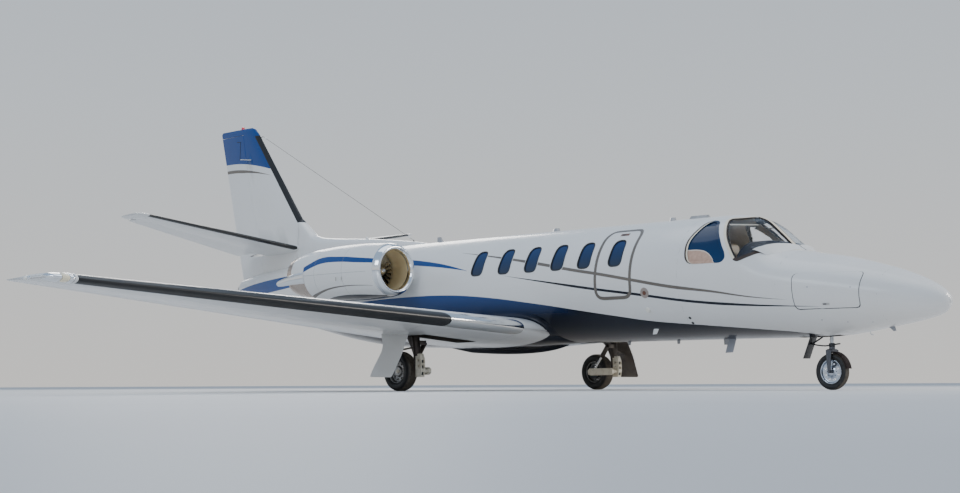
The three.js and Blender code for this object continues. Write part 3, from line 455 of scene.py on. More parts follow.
def outward(points, level, step=0.002):
    """Unit normals of a form from how its level changes in each direction."""
    normals = np.zeros_like(points)
    for k in range(3):
        shift = np.zeros(3)
        shift[k] = step
        normals[:, k] = level(points + shift) - level(points - shift)
    return normals / np.maximum(np.linalg.norm(normals, axis=1, keepdims=True), 1e-9)


def side_of_body(station, height):
    """Half width of the skin at a station and height."""
    top, bottom, half, middle = frame_at(np.asarray(station, float))
    rise = np.where(height > middle, top - middle, middle - bottom)
    return half * np.sqrt(np.clip(1 - ((height - middle) / rise) ** 2, 0, 1))


print("half width at the wing:", round(float(side_of_body(7.0, 1.455)), 3), "m")

# %% [markdown]
# Cutting a solid finer
#
# A panel's outline is already exact in the solid, with its windows and doors cut, so it is a pity to
# model it again. Instead each solid is sliced along many planes, which only adds points on its own
# faces, and then the points move onto the smooth form by a few millimetres. The edges of the
# openings move along, so neighbours still meet. The shading normals come from the form itself, which
# keeps reflections calm however the faces happen to be cut.

# %% Slice, move and shade
def plane_across(axis, value):
    normal = [0.0, 0.0, 0.0]
    point = [0.0, 0.0, 0.0]
    normal[axis], point[axis] = 1.0, value
    return point, normal


def sliced(node, planes):
    mesh = bmesh.new()
    mesh.from_mesh(frame["nodes"][node].data)
    bmesh.ops.remove_doubles(mesh, verts=mesh.verts, dist=2e-5)
    bmesh.ops.dissolve_limit(mesh, angle_limit=math.radians(0.2), verts=mesh.verts, edges=mesh.edges)
    for point, normal in planes:
        whole = mesh.verts[:] + mesh.edges[:] + mesh.faces[:]
        bmesh.ops.bisect_plane(mesh, geom=whole, plane_co=point, plane_no=normal, dist=1e-5)
    bmesh.ops.triangulate(mesh, faces=mesh.faces)
    return mesh


def points_of(mesh):
    return np.array([v.co for v in mesh.verts])


def put_points(mesh, points):
    for vertex, point in zip(mesh.verts, points):
        vertex.co = point


def add_object(name, data, materials, body, slot=None, replaces=()):
    piece = bpy.data.objects.new(name, data)
    for material in materials:
        data.materials.append(material)
    bpy.context.scene.collection.objects.link(piece)
    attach(piece, body)
    if replaces:
        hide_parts(*replaces)
    return piece


def body_of(node):
    for name, nodes in frame["record"]["behaviour"]["bodies"].items():
        if node in nodes:
            return name
    raise KeyError(node)


def slot_of(node):
    rows = frame["record"]["subparts"]
    return next(row["material_slot"] for row in rows if row["node"] == node)


def shade(data, sharp):
    """Smooth shading, with every edge that turns by more than some degrees kept crisp."""
    data.shade_smooth()
    data.set_sharp_from_angle(angle=math.radians(sharp))
    return data


def bend_light(data, normals, on_skin):
    """Gives the corners of faces that lie wholly on a form that form's own normals."""
    corner_normals = np.zeros((len(data.loops), 3))
    for face in data.polygons:
        if all(on_skin[v] for v in face.vertices):
            for corner in face.loop_indices:
                corner_normals[corner] = normals[data.loops[corner].vertex_index]
    data.normals_split_custom_set(corner_normals.tolist())


def skin_piece(node, mesh, materials, level=None, choose=None, sharp=32, name=None, normals=None):
    """Turns a moved mesh into the piece that stands for its node."""
    data = bpy.data.meshes.new(name or node + "_skin")
    if choose:
        for face in mesh.faces:
            face.material_index = choose(face)
    mesh.to_mesh(data)
    mesh.free()
    shade(data, sharp)
    if level:
        points = np.array([v.co for v in data.vertices])
        normals = outward(points, level)
        bend_light(data, normals, np.abs(level(points) - 1) < ON_SKIN)
    elif normals is not None:
        bend_light(data, *normals)
    return add_object(name or node + "_skin", data, materials, body_of(node), slot_of(node), [node])


print("nodes can now be cut finer and laid onto a form")

# %% [markdown]
# Rims and trims
#
# Seals, window frames and door bands all run along the edge of an opening. The edge is where a face
# of the outer skin meets a face of the cut wall, so it can be read off the mesh and chained into a
# loop. A trim is then a small section swept round that loop, standing on the skin: its "across" is
# measured along the skin away from the opening, and its "lift" straight off the skin.

# %% Find rims, smooth them and sweep a section along them
def rim_loops(mesh, level):
    """Closed loops of points where the outer skin ends."""
    points = points_of(mesh)
    mesh.verts.index_update()
    on_skin = np.abs(level(points) - 1) < ON_SKIN
    outer = {face for face in mesh.faces if all(on_skin[v.index] for v in face.verts)}
    links = {}
    for edge in mesh.edges:
        if sum(face in outer for face in edge.link_faces) == 1:
            a, b = (v.index for v in edge.verts)
            links.setdefault(a, []).append(b)
            links.setdefault(b, []).append(a)
    loops = []
    while links:
        start = next(iter(links))
        loop, here = [], start
        while here in links:
            loop.append(here)
            ways = [w for w in links.pop(here) if w in links]
            if not ways:
                break
            here = ways[0]
        if len(loop) > 5:
            loops.append(points[loop])
    return loops


def resampled(loop, step, rounds=2):
    """Evenly spaced points along a closed loop, with its corners eased."""
    ring = np.vstack([loop, loop[:1]])
    length = np.concatenate([[0], np.cumsum(np.linalg.norm(np.diff(ring, axis=0), axis=1))])
    count = max(12, int(length[-1] / step))
    spots = np.arange(count) * length[-1] / count
    even = np.stack([np.interp(spots, length, ring[:, k]) for k in range(3)], axis=1)
    for _ in range(rounds):
        even = 0.5 * even + 0.25 * (np.roll(even, 1, axis=0) + np.roll(even, -1, axis=0))
    return even


def ring_mesh(rows, closed_rows=True, closed_around=True):
    """Faces over a grid of points; each row has the same count."""
    rows = np.asarray(rows)
    count, width = rows.shape[:2]
    faces = []
    for r in range(count if closed_rows else count - 1):
        for i in range(width if closed_around else width - 1):
            s, j = (r + 1) % count, (i + 1) % width
            faces.append((r * width + i, r * width + j, s * width + j, s * width + i))
    return rows.reshape(-1, 3), faces


def make_mesh(name, points, faces, sharp=35):
    data = bpy.data.meshes.new(name)
    data.from_pydata([tuple(p) for p in points], [], faces)
    mesh = bmesh.new()
    mesh.from_mesh(data)
    bmesh.ops.remove_doubles(mesh, verts=mesh.verts, dist=1e-6)
    bmesh.ops.recalc_face_normals(mesh, faces=mesh.faces)
    mesh.to_mesh(data)
    mesh.free()
    return shade(data, sharp)


def rim_axes(loop, level=body_level):
    """At each point of a loop: away from the opening along the skin, and straight off the skin."""
    along = np.roll(loop, -1, axis=0) - np.roll(loop, 1, axis=0)
    along /= np.linalg.norm(along, axis=1, keepdims=True)
    up = outward(loop, level)
    across = np.cross(along, up)
    across /= np.linalg.norm(across, axis=1, keepdims=True)
    if np.sum(across * (loop - loop.mean(axis=0))) < 0:
        across = -across
    return across, up


def swept(loop, section, level=body_level):
    """Points and faces of a section of (across, lift) pairs swept round a loop on the skin."""
    across, up = rim_axes(loop, level)
    rows = [loop + across * a + up * h for a, h in section]
    return ring_mesh(np.stack(rows, axis=1))


def joined(parts):
    points, faces, base = [], [], 0
    for part_points, part_faces in parts:
        points.append(np.asarray(part_points))
        faces += [tuple(i + base for i in face) for face in part_faces]
        base += len(part_points)
    return np.vstack(points), faces


def capped(rings):
    """A closed loft through rings of points, with a face over each end."""
    points, faces = ring_mesh(rings, False, True)
    width = len(rings[0])
    last = len(points) - width
    return points, faces + [tuple(range(width)), tuple(range(last, last + width))]


def build(name, material, parts, body="airframe", slot=None, replaces=(), sharp=35):
    """Makes one piece of meshes, each given as its points and faces."""
    return add_object(name, make_mesh(name, *joined(parts), sharp), [material], body, slot, replaces)


def circle(count):
    """Angles of places that stand evenly round a circle."""
    return np.linspace(0, 2 * math.pi, count, endpoint=False)


def squared(value, power):
    """A sine or cosine pushed outwards, so that a circle gets soft corners."""
    return math.copysign(abs(value) ** power, value)


print("rims can be traced and trimmed")

# %% [markdown]
# Seals, linings and glass
#
# The windows need more finishes: rubber for the seals, the warm plastic of the cabin walls, and two
# kinds of glazing. A cockpit windshield is clear, so it is made as real glass that
# bends and passes light. The small cabin windows are tinted and mirror the sky, so a dark blue body
# under a clear coat comes closer than clear glass in front of an unlit cabin.

# %% Rubber, lining and glass
def rubber(name, colour, rough=0.7):
    nodes = Nodes(name)
    grain = nodes.noise(180, 3.0)
    nodes.bump(grain, 0.15, 0.0006)
    pale = tuple(c * 1.7 + 0.006 for c in colour[:3]) + (1,)
    tone = nodes.mix(nodes.between(nodes.noise(9, 3.0), 0.35, 0.7), colour, pale)
    return nodes.set(base_color=tone, roughness=rough)


def lining():
    nodes = Nodes("cabin_lining")
    weave = nodes.noise(420, 2.0)
    nodes.bump(weave, 0.2, 0.0005)
    tone = nodes.mix(nodes.noise(3, 2.0), (0.78, 0.70, 0.58, 1), (0.84, 0.77, 0.66, 1))
    return nodes.set(base_color=tone, roughness=0.8)


def clear_glass():
    nodes = Nodes("windshield_glass")
    haze = nodes.between(nodes.noise(2.5, 3.0), 0.4, 0.8, 0.0, 0.03)
    return nodes.set(base_color=(0.95, 0.965, 0.98, 1), roughness=haze, transmission_weight=1.0, ior=1.15)


def tinted_glass():
    nodes = Nodes("window_acrylic")
    height = nodes.axes()[2]
    # Bluer towards the top: a painted reflection of the sky.
    sky = nodes.between(height, 1.64, 1.95)
    tone = nodes.mix(sky, (0.020, 0.035, 0.065, 1), (0.002, 0.032, 0.125, 1))
    return nodes.set(base_color=tone, roughness=0.08, coat_weight=0.25, coat_roughness=0.02,
                     specular_ior_level=0.3)


black_rubber = rubber("seal_rubber", (0.012, 0.012, 0.013, 1))
cabin_lining = lining()
windshield_glass = clear_glass()
window_acrylic = tinted_glass()
print("seal, lining and glass")

# %% [markdown]
# Skinning the fuselage
#
# The fuselage shells, doors and panes all take the same three steps: slice, lay onto the form, give
# the outer faces paint, the inner ones the lining, and the cut edges between them the seal's black.
# Slices stand close where the form curves and are left out along the straight cabin.

# %% Fuselage skins
NOSE_SLICES = np.concatenate([np.arange(0.01, 0.3, 0.018), np.arange(0.3, 3.3, 0.06)])
TAIL_SLICES = np.arange(8.95, 13.62, 0.14)
ALL_SLICES = np.concatenate([NOSE_SLICES, TAIL_SLICES])


def body_planes(node, around=16):
    low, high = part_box(node)
    stations = [s for s in ALL_SLICES if NOSE_X - high.x < s < NOSE_X - low.x]
    planes = [plane_across(0, at(s)) for s in stations]
    middle = float(frame_at(np.array([NOSE_X - (low.x + high.x) / 2]))[3][0])
    for k in range(around):
        turn = math.pi * k / around
        planes.append(((0, 0, middle), (0, -math.sin(turn), math.cos(turn))))
    return planes


RIMS = {}
# station of the middle of each small belly aerial, whose solid is broader than the real blade
BELLY_BLADES = (4.055, 4.915)
BLADE_REACH, BLADE_HALF, BLADE_ROOT, BLADE_SLIM = 0.080, 0.016, 0.70, 0.40


def slimmed(points):
    """Narrows the small belly aerials about their own middles."""
    points = points.copy()
    station = NOSE_X - points[:, 0]
    for middle in BELLY_BLADES:
        near = np.abs(station - middle) < BLADE_REACH
        near &= (np.abs(points[:, 1]) < BLADE_HALF) & (points[:, 2] < BLADE_ROOT)
        points[near, 0] = at(middle) + BLADE_SLIM * (points[near, 0] - at(middle))
        points[near, 1] *= BLADE_SLIM
    return points


def skin_body_node(node, inner=None, snap=SNAP):
    mesh = sliced(node, body_planes(node))
    put_points(mesh, onto_body(slimmed(points_of(mesh)), snap))
    mesh.verts.index_update()
    level = body_level(points_of(mesh))
    RIMS[node] = rim_loops(mesh, body_level)

    def choose(face):
        """0 is the skin, 1 the inner wall, 2 a cut edge and 3 an aerial that stands on the skin, grey as
        painted shade.
        """
        shares = [level[v.index] for v in face.verts]
        if max(shares) > 1.002:
            return 3
        if min(shares) > 1 - ON_SKIN:
            return 0
        return 1 if max(shares) < 0.985 else 2

    materials = [fuselage_paint, inner or cabin_lining, black_rubber, aerial_painted_shade]
    return skin_piece(node, mesh, materials, body_level, choose)


# The aerials on the skin are grey: their white paint darkened as painted shade.
aerial_painted_shade = plain_paint("aerial_painted_shade", (0.36, 0.36, 0.37, 1))
bay_metal = plain_paint("bay_grey", (0.33, 0.34, 0.34, 1))
skin_body_node("cockpit_shell", snap=0.018)
for node in ("radome", "cabin_shell_forward", "cabin_shell_aft", "cabin_door", "emergency_exit"):
    skin_body_node(node)
for node in ("nose_bay", "nose_baggage_door_left", "nose_baggage_door_right"):
    skin_body_node(node, inner=bay_metal, snap=0.016)
for node in ("tail_cone", "tail_baggage_door"):
    skin_body_node(node, inner=bay_metal)
print("fuselage skins:", {k: len(v) for k, v in RIMS.items()})

# %% [markdown]
# Panes of the cockpit
#
# Each windshield half and side window is laid onto the same form as the skin around it. Round a
# windshield half runs a brown seal, then a raised bevel. A side window has a flat border, and along
# its aft side a seal and a cream lining. All are swept round the openings of the shell itself.

# %% Cockpit panes and their frames
# station, height of the upper edge of the sun shade behind a side window
SHADE_EDGE = ((2.76, 1.50), (2.84, 1.59), (2.897, 1.666), (2.99, 1.737), (3.094, 1.768), (3.257, 1.778),
              (3.40, 1.778))


def side_glass():
    """Deep blue glass, with a tan sun shade stuck to it in the lower aft corner."""
    nodes = Nodes("side_window_glass")
    station, y, height = nodes.side_view()
    edge = nodes.curve(station, SHADE_EDGE, 1.0, 2.0)
    below = nodes.math("SUBTRACT", edge, height)
    shade = nodes.math("GREATER_THAN", below, 0.0)
    hem = nodes.math("MULTIPLY", shade, nodes.math("LESS_THAN", below, 0.012))
    cloth = nodes.mix(nodes.noise(24, 5.0), (0.42, 0.25, 0.19, 1), (0.70, 0.50, 0.38, 1))
    cloth = nodes.mix(hem, cloth, (0.75, 0.66, 0.56, 1))
    # The blue darkens towards the top: painted shade.
    blue = nodes.mix(nodes.between(height, 1.62, 2.1), (0.004, 0.036, 0.11, 1), (0.002, 0.018, 0.06, 1))
    tone = nodes.mix(shade, blue, cloth)
    return nodes.set(base_color=tone, roughness=0.10, coat_weight=0.12, coat_roughness=0.03,
                     specular_ior_level=0.2)


# The starboard window has its blind drawn; through the clear port one the sky shows
SIDE_GLASS = {"left": windshield_glass, "right": side_glass()}
for name, side in SIDES:
    for node, glass in (("windshield_", windshield_glass), ("cockpit_window_", SIDE_GLASS[name])):
        mesh = sliced(node + name, body_planes(node + name, 24))
        put_points(mesh, onto_body(points_of(mesh)))
        skin_piece(node + name, mesh, [glass], name=node + name + "_pane")

# across and lift of each section, metres
SIDE_BORDER = ((-0.006, -0.002), (-0.004, 0.0012), (0.034, 0.0020), (0.036, 0.0))
BEVEL = ((-0.004, -0.004), (-0.004, 0.0018), (0.008, 0.0045), (0.030, 0.0045), (0.034, -0.004))
BEVEL_SEAL = ((-0.016, -0.012), (-0.016, 0.0012), (-0.010, 0.0022), (-0.003, 0.002), (-0.003, -0.012))


def trims_for(node, longest, shortest=0.3):
    """The rims of a node that are round openings, not its own ends."""
    kept = []
    for loop in RIMS[node]:
        around = np.linalg.norm(np.diff(np.vstack([loop, loop[:1]]), axis=0), axis=1).sum()
        lengthwise = np.ptp(loop[:, 0])
        if shortest < around < longest and lengthwise > 0.1:
            kept.append(resampled(loop, 0.02))
    return kept


cockpit_rims = trims_for("cockpit_shell", 5.5)
side_rims = [
    loop for loop in cockpit_rims
    if abs(NOSE_X - loop[:, 0].mean() - 3.05) < 0.25 and loop[:, 2].mean() > 1.2
]
windshield_rims = [loop for loop in cockpit_rims if NOSE_X - loop[:, 0].mean() < 2.8]
cream_trim = plain_paint("cream_trim", (0.80, 0.73, 0.58, 1))
brown_rubber = rubber("brown_seal", (0.035, 0.022, 0.016, 1))
for loop in side_rims:
    name = "left" if loop[:, 1].mean() > 0 else "right"
    border = SIDE_GLASS["right"] if name == "right" else brown_rubber
    build("side_window_border_" + name, border, [swept(loop, SIDE_BORDER)])
build("windshield_seals", brown_rubber, [swept(loop, BEVEL_SEAL) for loop in windshield_rims])


def bevel_of(loop, name):
    """The windshield's bevel, cream where it faces aft or up, and dark along its foot."""
    data = make_mesh(name, *swept(loop, BEVEL))
    across = rim_axes(loop)[0]
    for face in data.polygons:
        near = np.argmin(np.linalg.norm(loop - np.array(face.center), axis=1))
        face.material_index = int(across[near, 2] < -0.72)
    return add_object(name, data, [cream_trim, brown_rubber], "airframe")


for number, loop in enumerate(windshield_rims, 1):
    bevel_of(loop, f"windshield_bevel_{number}")


STRIP_WIDEST = 0.0365
STRIPS = (
    # name, outer and inner edge along the aft side, lift, material
    ("side_window_seals", STRIP_WIDEST, 0.010, 0.0026, brown_rubber),
    ("side_window_linings", 0.010, -0.014, 0.0030, cream_trim),
)


def aft_strip(loop, start, end, lift):
    """A strip that is widest where the rim runs down the aft side, and nothing on the front side."""
    across, up = rim_axes(loop)
    share = np.clip(-1.2 * across[:, :1], 0, 1)
    edges = [loop + across * (edge * share + STRIP_WIDEST * (1 - share)) + up * lift for edge in (start, end)]
    return ring_mesh(np.stack(edges, axis=1), True, False)


for name, start, end, lift, material in STRIPS:
    build(name, material, [aft_strip(loop, start, end, lift) for loop in side_rims])
print("cockpit openings:", len(windshield_rims), "windshield halves,", len(side_rims), "side windows")

# %% [markdown]
# Warm-air outlets of the windshield
#
# A flat wedge lies against the foot of each windshield half and blows warm air up the glass. It rises out of
# the nose's skin towards the glass and ends in an open slot. It is lofted from the centre line out to its
# end: each ring is the edge of a thin plate that follows the skin at a growing height. A second wedge in
# black under the plate is painted shade: it stands for the shaded depth of the slot.

# %% Two wedges at the foot of the windshield
# station and distance from the middle of the edge along the glass
OUTLET_EDGE = ((2.118, 0.012), (2.150, 0.150), (2.180, 0.280), (2.225, 0.430), (2.275, 0.550), (2.342, 0.640))
OUTLET_LENGTH, OUTLET_SPAN = 0.165, 0.66
OUTLET_LIP = 0.034


def skin_above(station, out):
    """The upper skin at a station and a distance from the middle."""
    top, bottom, half, middle = frame_at(np.asarray(station, float))
    rise = (top - middle) * np.sqrt(np.clip(1 - (out / half) ** 2, 0, 1))
    return np.stack([NOSE_X - station, out, middle + rise], axis=-1)


def outlet_wedge(side, inset, top, bottom):
    """A wedge between two lifts that both fade to nothing at its front edge."""
    stations, outs = np.array(OUTLET_EDGE).T
    rows = []
    for share in np.linspace(0, 1 - inset / OUTLET_SPAN, 30):
        station, out = (np.interp(share, np.linspace(0, 1, len(stations)), v) for v in (stations, outs))
        ahead = np.linspace(inset / OUTLET_LENGTH, 1, 10)
        base = skin_above(station - ahead * OUTLET_LENGTH * (0.75 + 0.25 * share), out * (1 - 0.09 * ahead))
        up = outward(base, body_level)
        fade = (1 - ahead[:, None]) ** 0.9
        upper = base + up * (top * fade + 0.0006)
        lower = base + up * np.maximum(bottom * fade, -0.002)
        ring = np.vstack([upper, lower[::-1]])
        ring[:, 1] *= side
        rows.append(ring)
    return capped(rows)


for part, inset, top, bottom, material in (
    ("plate", 0.0, OUTLET_LIP, OUTLET_LIP - 0.005, white_paint),
    # the black slot wedge is painted shade, the shaded depth of the open slot
    ("slot", 0.006, OUTLET_LIP - 0.005, -0.002, black_rubber),
):
    wedges = [outlet_wedge(side, inset, top, bottom) for name, side in SIDES]
    build("windshield_outlet_" + part, material, wedges)
print("outlets along the windshield's foot, lip", OUTLET_LIP, "m high")

# %% [markdown]
# Wings and tail from one aerofoil
#
# Wings, tailplane, pylons and fin share one family of sections: an aerofoil whose nose is round and
# whose tail runs out to a thin edge. The solids draw it with a handful of flats. Here each point's
# share of the chord is found again, and its height is scaled from the flat-sided outline to the true
# curve. That rounds the leading edge, where a flat-sided nose would show first.

# %% Aerofoil form
OVER, UNDER = 1.12, 0.88        # shares of the half depth above the chord line and below it
THINNEST = 0.002
CAD_STEPS = 6
CAD_SHARES = 0.5 * (1 - np.cos(np.pi * np.arange(CAD_STEPS + 1) / CAD_STEPS))
FINE_SHARES = 0.5 * (1 - np.cos(np.pi * np.arange(1, 26) / 26))
WING = np.array([
    # span, station and height of the leading edge, chord, thickness, trailing edge drop
    (0.480, 5.926, 0.823, 2.773, 0.388, 0.121), (7.760, 6.477, 1.297, 1.109, 0.133, -0.002),
    (7.900, 6.530, 1.308, 1.010, 0.084, -0.002), (7.945, 6.640, 1.312, 0.852, 0.036, -0.002),
])
TAILPLANE = np.array([
    (0.040, 12.030, 2.352, 1.490, 0.142, 0.045), (2.800, 12.500, 2.790, 0.640, 0.055, 0.019),
    (2.880, 12.540, 2.801, 0.570, 0.033, 0.017), (2.905, 12.610, 2.805, 0.430, 0.015, 0.013),
])
PYLON = np.array([(0.400, 8.450, 1.590, 1.500, 0.150, 0), (1.250, 8.450, 1.730, 1.500, 0.150, 0)])
FIN = np.array([
    # height, station of the leading edge, level, chord, thickness, drop
    (1.720, 11.560, 0, 2.120, 0.233, 0), (2.780, 12.030, 0, 1.922, 0.211, 0),
    (4.420, 13.301, 0, 1.075, 0.107, 0), (4.520, 13.400, 0, 1.002, 0.075, 0),
    (4.556, 13.500, 0, 0.870, 0.035, 0),
])


def foil_half(share):
    u = np.clip(share, 0, 1)
    return 5 * (0.2969 * np.sqrt(u) - 0.126 * u - 0.3516 * u**2 + 0.2843 * u**3 - 0.1036 * u**4)


def section_at(table, span):
    return [np.interp(span, table[:, 0], table[:, k]) for k in range(1, 6)]


def foil_place(points, table, upright=False):
    """Share of the chord, level over the chord line, and the section there."""
    span = points[:, 2] if upright else np.abs(points[:, 1])
    level = points[:, 1] if upright else points[:, 2]
    front, height, chord, depth, drop = section_at(table, span)
    share = (NOSE_X - points[:, 0] - front) / chord
    return share, level - (height - share * drop), depth


def halves(share, depth, over, upright):
    """Half depth of the flat-sided outline and of the true one."""
    side = np.ones_like(share) if upright else np.where(over > 0, OVER, UNDER)
    true = np.maximum(THINNEST, depth * foil_half(share)) * side
    corners = [np.maximum(THINNEST, depth * foil_half(np.full_like(depth, u))) for u in CAD_SHARES]
    corners[0] = np.zeros_like(depth)
    flat = np.zeros_like(share)
    for k in range(CAD_STEPS):
        a, b = CAD_SHARES[k], CAD_SHARES[k + 1]
        t = (share - a) / (b - a)
        here = (share >= a) & (share <= b)
        flat = np.where(here, corners[k] * (1 - t) + corners[k + 1] * t, flat)
    return flat * side, true


def onto_foil(points, table, upright=False):
    share, over, depth = foil_place(points, table, upright)
    flat, true = halves(share, depth, over, upright)
    on_it = (share > 1e-6) & (share < 1) & (np.abs(over) < flat * 1.02 + 0.0005)
    scaled = np.where(on_it, over * true / np.maximum(flat, 1e-5), over)
    moved = points.copy()
    moved[:, 1 if upright else 2] += scaled - over
    return moved


def foil_planes(table, upright=False, mirror=1):
    """Upright planes through equal shares of the chord, from the root to the tip's first rib."""
    planes = []
    low, high = table[0], table[1]
    for u in FINE_SHARES:
        a, b = at(low[1] + u * low[3]), at(high[1] + u * high[3])
        if upright:
            start, end, extent = Vector((a, 0, low[0])), Vector((b, 0, high[0])), Vector((0, 1, 0))
        else:
            start = Vector((a, mirror * low[0], 0))
            end, extent = Vector((b, mirror * high[0], 0)), Vector((0, 0, 1))
        planes.append((start, (end - start).cross(extent).normalized()))
    return planes


def foil_normals(points, table, upright=False, step=0.0008, nose=0.0008):
    """The true aerofoil's normals, and which points lie on it."""
    across, up = (2, 1) if upright else (1, 2)
    share, over, depth = foil_place(points, table, upright)
    sign = np.where(over < 0, -1.0, 1.0)
    side = 1.0 if upright else np.where(sign > 0, OVER, UNDER)

    def level(place):
        span = place[:, 2] if upright else np.abs(place[:, 1])
        front, height, chord, depth, drop = section_at(table, span)
        share = np.clip((NOSE_X - place[:, 0] - front) / chord, nose, 1)
        return height - share * drop + sign * side * np.maximum(THINNEST, depth * foil_half(share))

    normals = np.zeros_like(points)
    normals[:, up] = sign
    for axis in (0, across):
        move = np.eye(3)[axis] * step
        normals[:, axis] = -sign * (level(points + move) - level(points - move)) / (2 * step)
    normals[share < nose] = (1, 0, 0)
    normals /= np.linalg.norm(normals, axis=1)[:, None]
    true = side * np.maximum(THINNEST, depth * foil_half(share))
    near_it = (np.abs(np.abs(over) - true) < 0.0012) | (share < nose)
    return normals, near_it & (share > -1e-3) & (share < 0.999)


print("aerofoil of the wing root:", round(2 * WING[0, 4] * foil_half(0.3), 3), "m deep")

# %% [markdown]
# Wing and tail skins
#
# The wings are bare of livery, but their front edges are not painted at all: near the root they are
# polished metal, and further out a black rubber boot covers them, which is blown up to crack ice
# off. Both are strips of an even width from the leading edge, so the shader measures the distance
# aft of that edge and turns it into masks. The elevators hang a little at rest, so they are turned
# back to line, laid onto the aerofoil, and turned down again about the same hinge.

# %% Leading edges
BOOT_BLACK = (0.014, 0.014, 0.015, 1)
BARE_METAL = (0.80, 0.80, 0.79, 1)


def leading_edge(nodes, table, upright=False):
    """Metres aft of the leading edge, and the span there."""
    station, y, z = nodes.side_view()
    span = z if upright else nodes.math("ABSOLUTE", y)
    front = nodes.between(span, table[0, 0], table[1, 0], table[0, 1], table[1, 1])
    return nodes.math("SUBTRACT", station, front), span


def edge_strip(nodes, table, upright, start, end, width, round_by=0.0):
    """1 on a strip along the leading edge between two spans; its inner end may be round."""
    aft, span = leading_edge(nodes, table, upright)
    limit = width
    if round_by:
        near_end = nodes.between(span, start + round_by, start)
        bow = nodes.math("SQRT", nodes.math("SUBTRACT", 1.0, nodes.math("MULTIPLY", near_end, near_end)))
        limit = nodes.math("MULTIPLY", bow, width)
    along = inside(nodes, span, start, end)
    return nodes.math("MULTIPLY", nodes.math("LESS_THAN", aft, limit), along)


def edged_paint(name, scheme, boots, bare=()):
    """Paint with rubber boots and bare metal strips; each strip is a row for edge_strip."""
    nodes = Nodes(name)
    paint(nodes, scheme)
    colour = nodes.shader.inputs["Base Color"].links[0].from_socket
    rough = nodes.shader.inputs["Roughness"].links[0].from_socket
    metal_share = 0.0
    for strip in bare:
        mask = edge_strip(nodes, *strip)
        colour = nodes.mix(mask, colour, BARE_METAL)
        rough = nodes.between(mask, 0, 1, rough, 0.16)
        metal_share = mask
    for strip in boots:
        mask = edge_strip(nodes, *strip)
        colour = nodes.mix(mask, colour, BOOT_BLACK)
        rough = nodes.between(mask, 0, 1, rough, 0.42)
        metal_share = nodes.between(mask, 0, 1, metal_share, 0.0)
    return nodes.set(base_color=colour, roughness=rough, metallic=metal_share)


# %% Skins of the flying surfaces
WING_JOINTS = (1.06, 2.62, 4.6, 6.1, 7.46)


def wing_scheme(nodes, white):
    """White paint with thin dark joints between the panels."""
    out = nodes.math("ABSOLUTE", nodes.axes()[1])
    joints = None
    for span in WING_JOINTS:
        line = nodes.math("COMPARE", out, span, 0.0016)
        joints = line if joints is None else nodes.math("MAXIMUM", joints, line)
    return nodes.mix(joints, white, (0.30, 0.30, 0.29, 1))


# station and height of the lower edge of the fin's blue cap
CAP_EDGE = ((12.70, 3.735), (12.85, 3.768), (13.30, 3.872), (13.74, 3.940), (14.2, 3.965))


def fin_scheme(nodes, white):
    """A blue cap over a thin warm grey stripe, both rising a little towards the rear."""
    station, y, z = nodes.side_view()
    cap = nodes.curve(station, CAP_EDGE, 3, 5)
    colour = over(nodes, white, nodes.math("GREATER_THAN", z, cap), BLUE)
    below = nodes.math("SUBTRACT", cap, z)
    width = nodes.between(station, 12.86, 13.7, 0.0, 0.055)
    band = inside(nodes, below, 0.105, nodes.math("ADD", width, 0.105))
    colour = over(nodes, colour, band, TAUPE)
    spear_low = nodes.curve(station, SPEAR_LOW, 0.5, 2.5)
    spear_high = nodes.curve(station, SPEAR_TOP, 0.5, 2.5)
    return over(nodes, colour, inside(nodes, z, spear_low, spear_high), BLUE)


wing_paint = edged_paint("wing_paint", wing_scheme, [(WING, False, 2.25, 7.64, 0.115, 0.11)],
                         [(WING, False, 0.98, 8.0, 0.118, 0.12)])
tail_paint = edged_paint("tail_paint", None, [(TAILPLANE, False, 0.14, 2.74, 0.065, 0.05)])
fin_paint = edged_paint("fin_paint", fin_scheme, [(FIN[1:], True, 2.80, 4.40, 0.105)])
SURFACES = (
    # node, table, upright, turned down at rest, paint
    ("wing", WING, False, 0, wing_paint), ("flap", WING, False, 0, wing_paint),
    ("aileron", WING, False, 0, wing_paint), ("pylon", PYLON, False, 0, white_paint),
    ("elevator", TAILPLANE, False, 5.5, tail_paint),
)
JOINTS = {joint["name"]: joint for joint in frame["record"]["behaviour"]["joints"]}


def turned_down(points, side_name, degrees):
    """Points turned about the elevator's hinge; positive is trailing edge down."""
    hinge = JOINTS[f"elevator_{side_name}_hinge"]
    pivot = Vector(hinge["pos_m"])
    turn = Matrix.Rotation(-math.radians(degrees), 3, Vector(hinge["axis"]))
    return np.array([pivot + turn @ (Vector(p) - pivot) for p in points])


def ribs(table, upright=False, mirror=1, count=9):
    """Planes across the span, so that no face runs from the root to the tip."""
    spans = np.linspace(table[0, 0], table[1, 0], count + 2)[1:-1]
    return [plane_across(2 if upright else 1, mirror * span) for span in spans]


def skin_surface(node, table, upright, coat, droop=0.0, side_name="left", mirror=1):
    mesh = sliced(node, foil_planes(table, upright, mirror=mirror) + ribs(table, upright, mirror))
    points = points_of(mesh)
    if droop:
        points = turned_down(points, side_name, -droop)
    points = onto_foil(points, table, upright)
    normals, on_it = foil_normals(points, table, upright)
    if droop:
        ahead = turned_down(points + normals, side_name, droop)
        points = turned_down(points, side_name, droop)
        normals = ahead - points
    put_points(mesh, points)
    return skin_piece(node, mesh, [coat], sharp=28, normals=(normals, on_it))


for label, table, upright, droop, coat in SURFACES:
    for name, side in SIDES:
        skin_surface(f"{label}_{name}", table, upright, coat, droop, name, side)

planes = []
for mirror in (1, -1):
    planes += foil_planes(TAILPLANE, mirror=mirror) + ribs(TAILPLANE, mirror=mirror)
mesh = sliced("tailplane", planes)
points = onto_foil(points_of(mesh), TAILPLANE)
put_points(mesh, points)
skin_piece("tailplane", mesh, [tail_paint], sharp=28, normals=foil_normals(points, TAILPLANE))
skin_surface("rudder", FIN, True, fin_paint)
print("flying surfaces done")

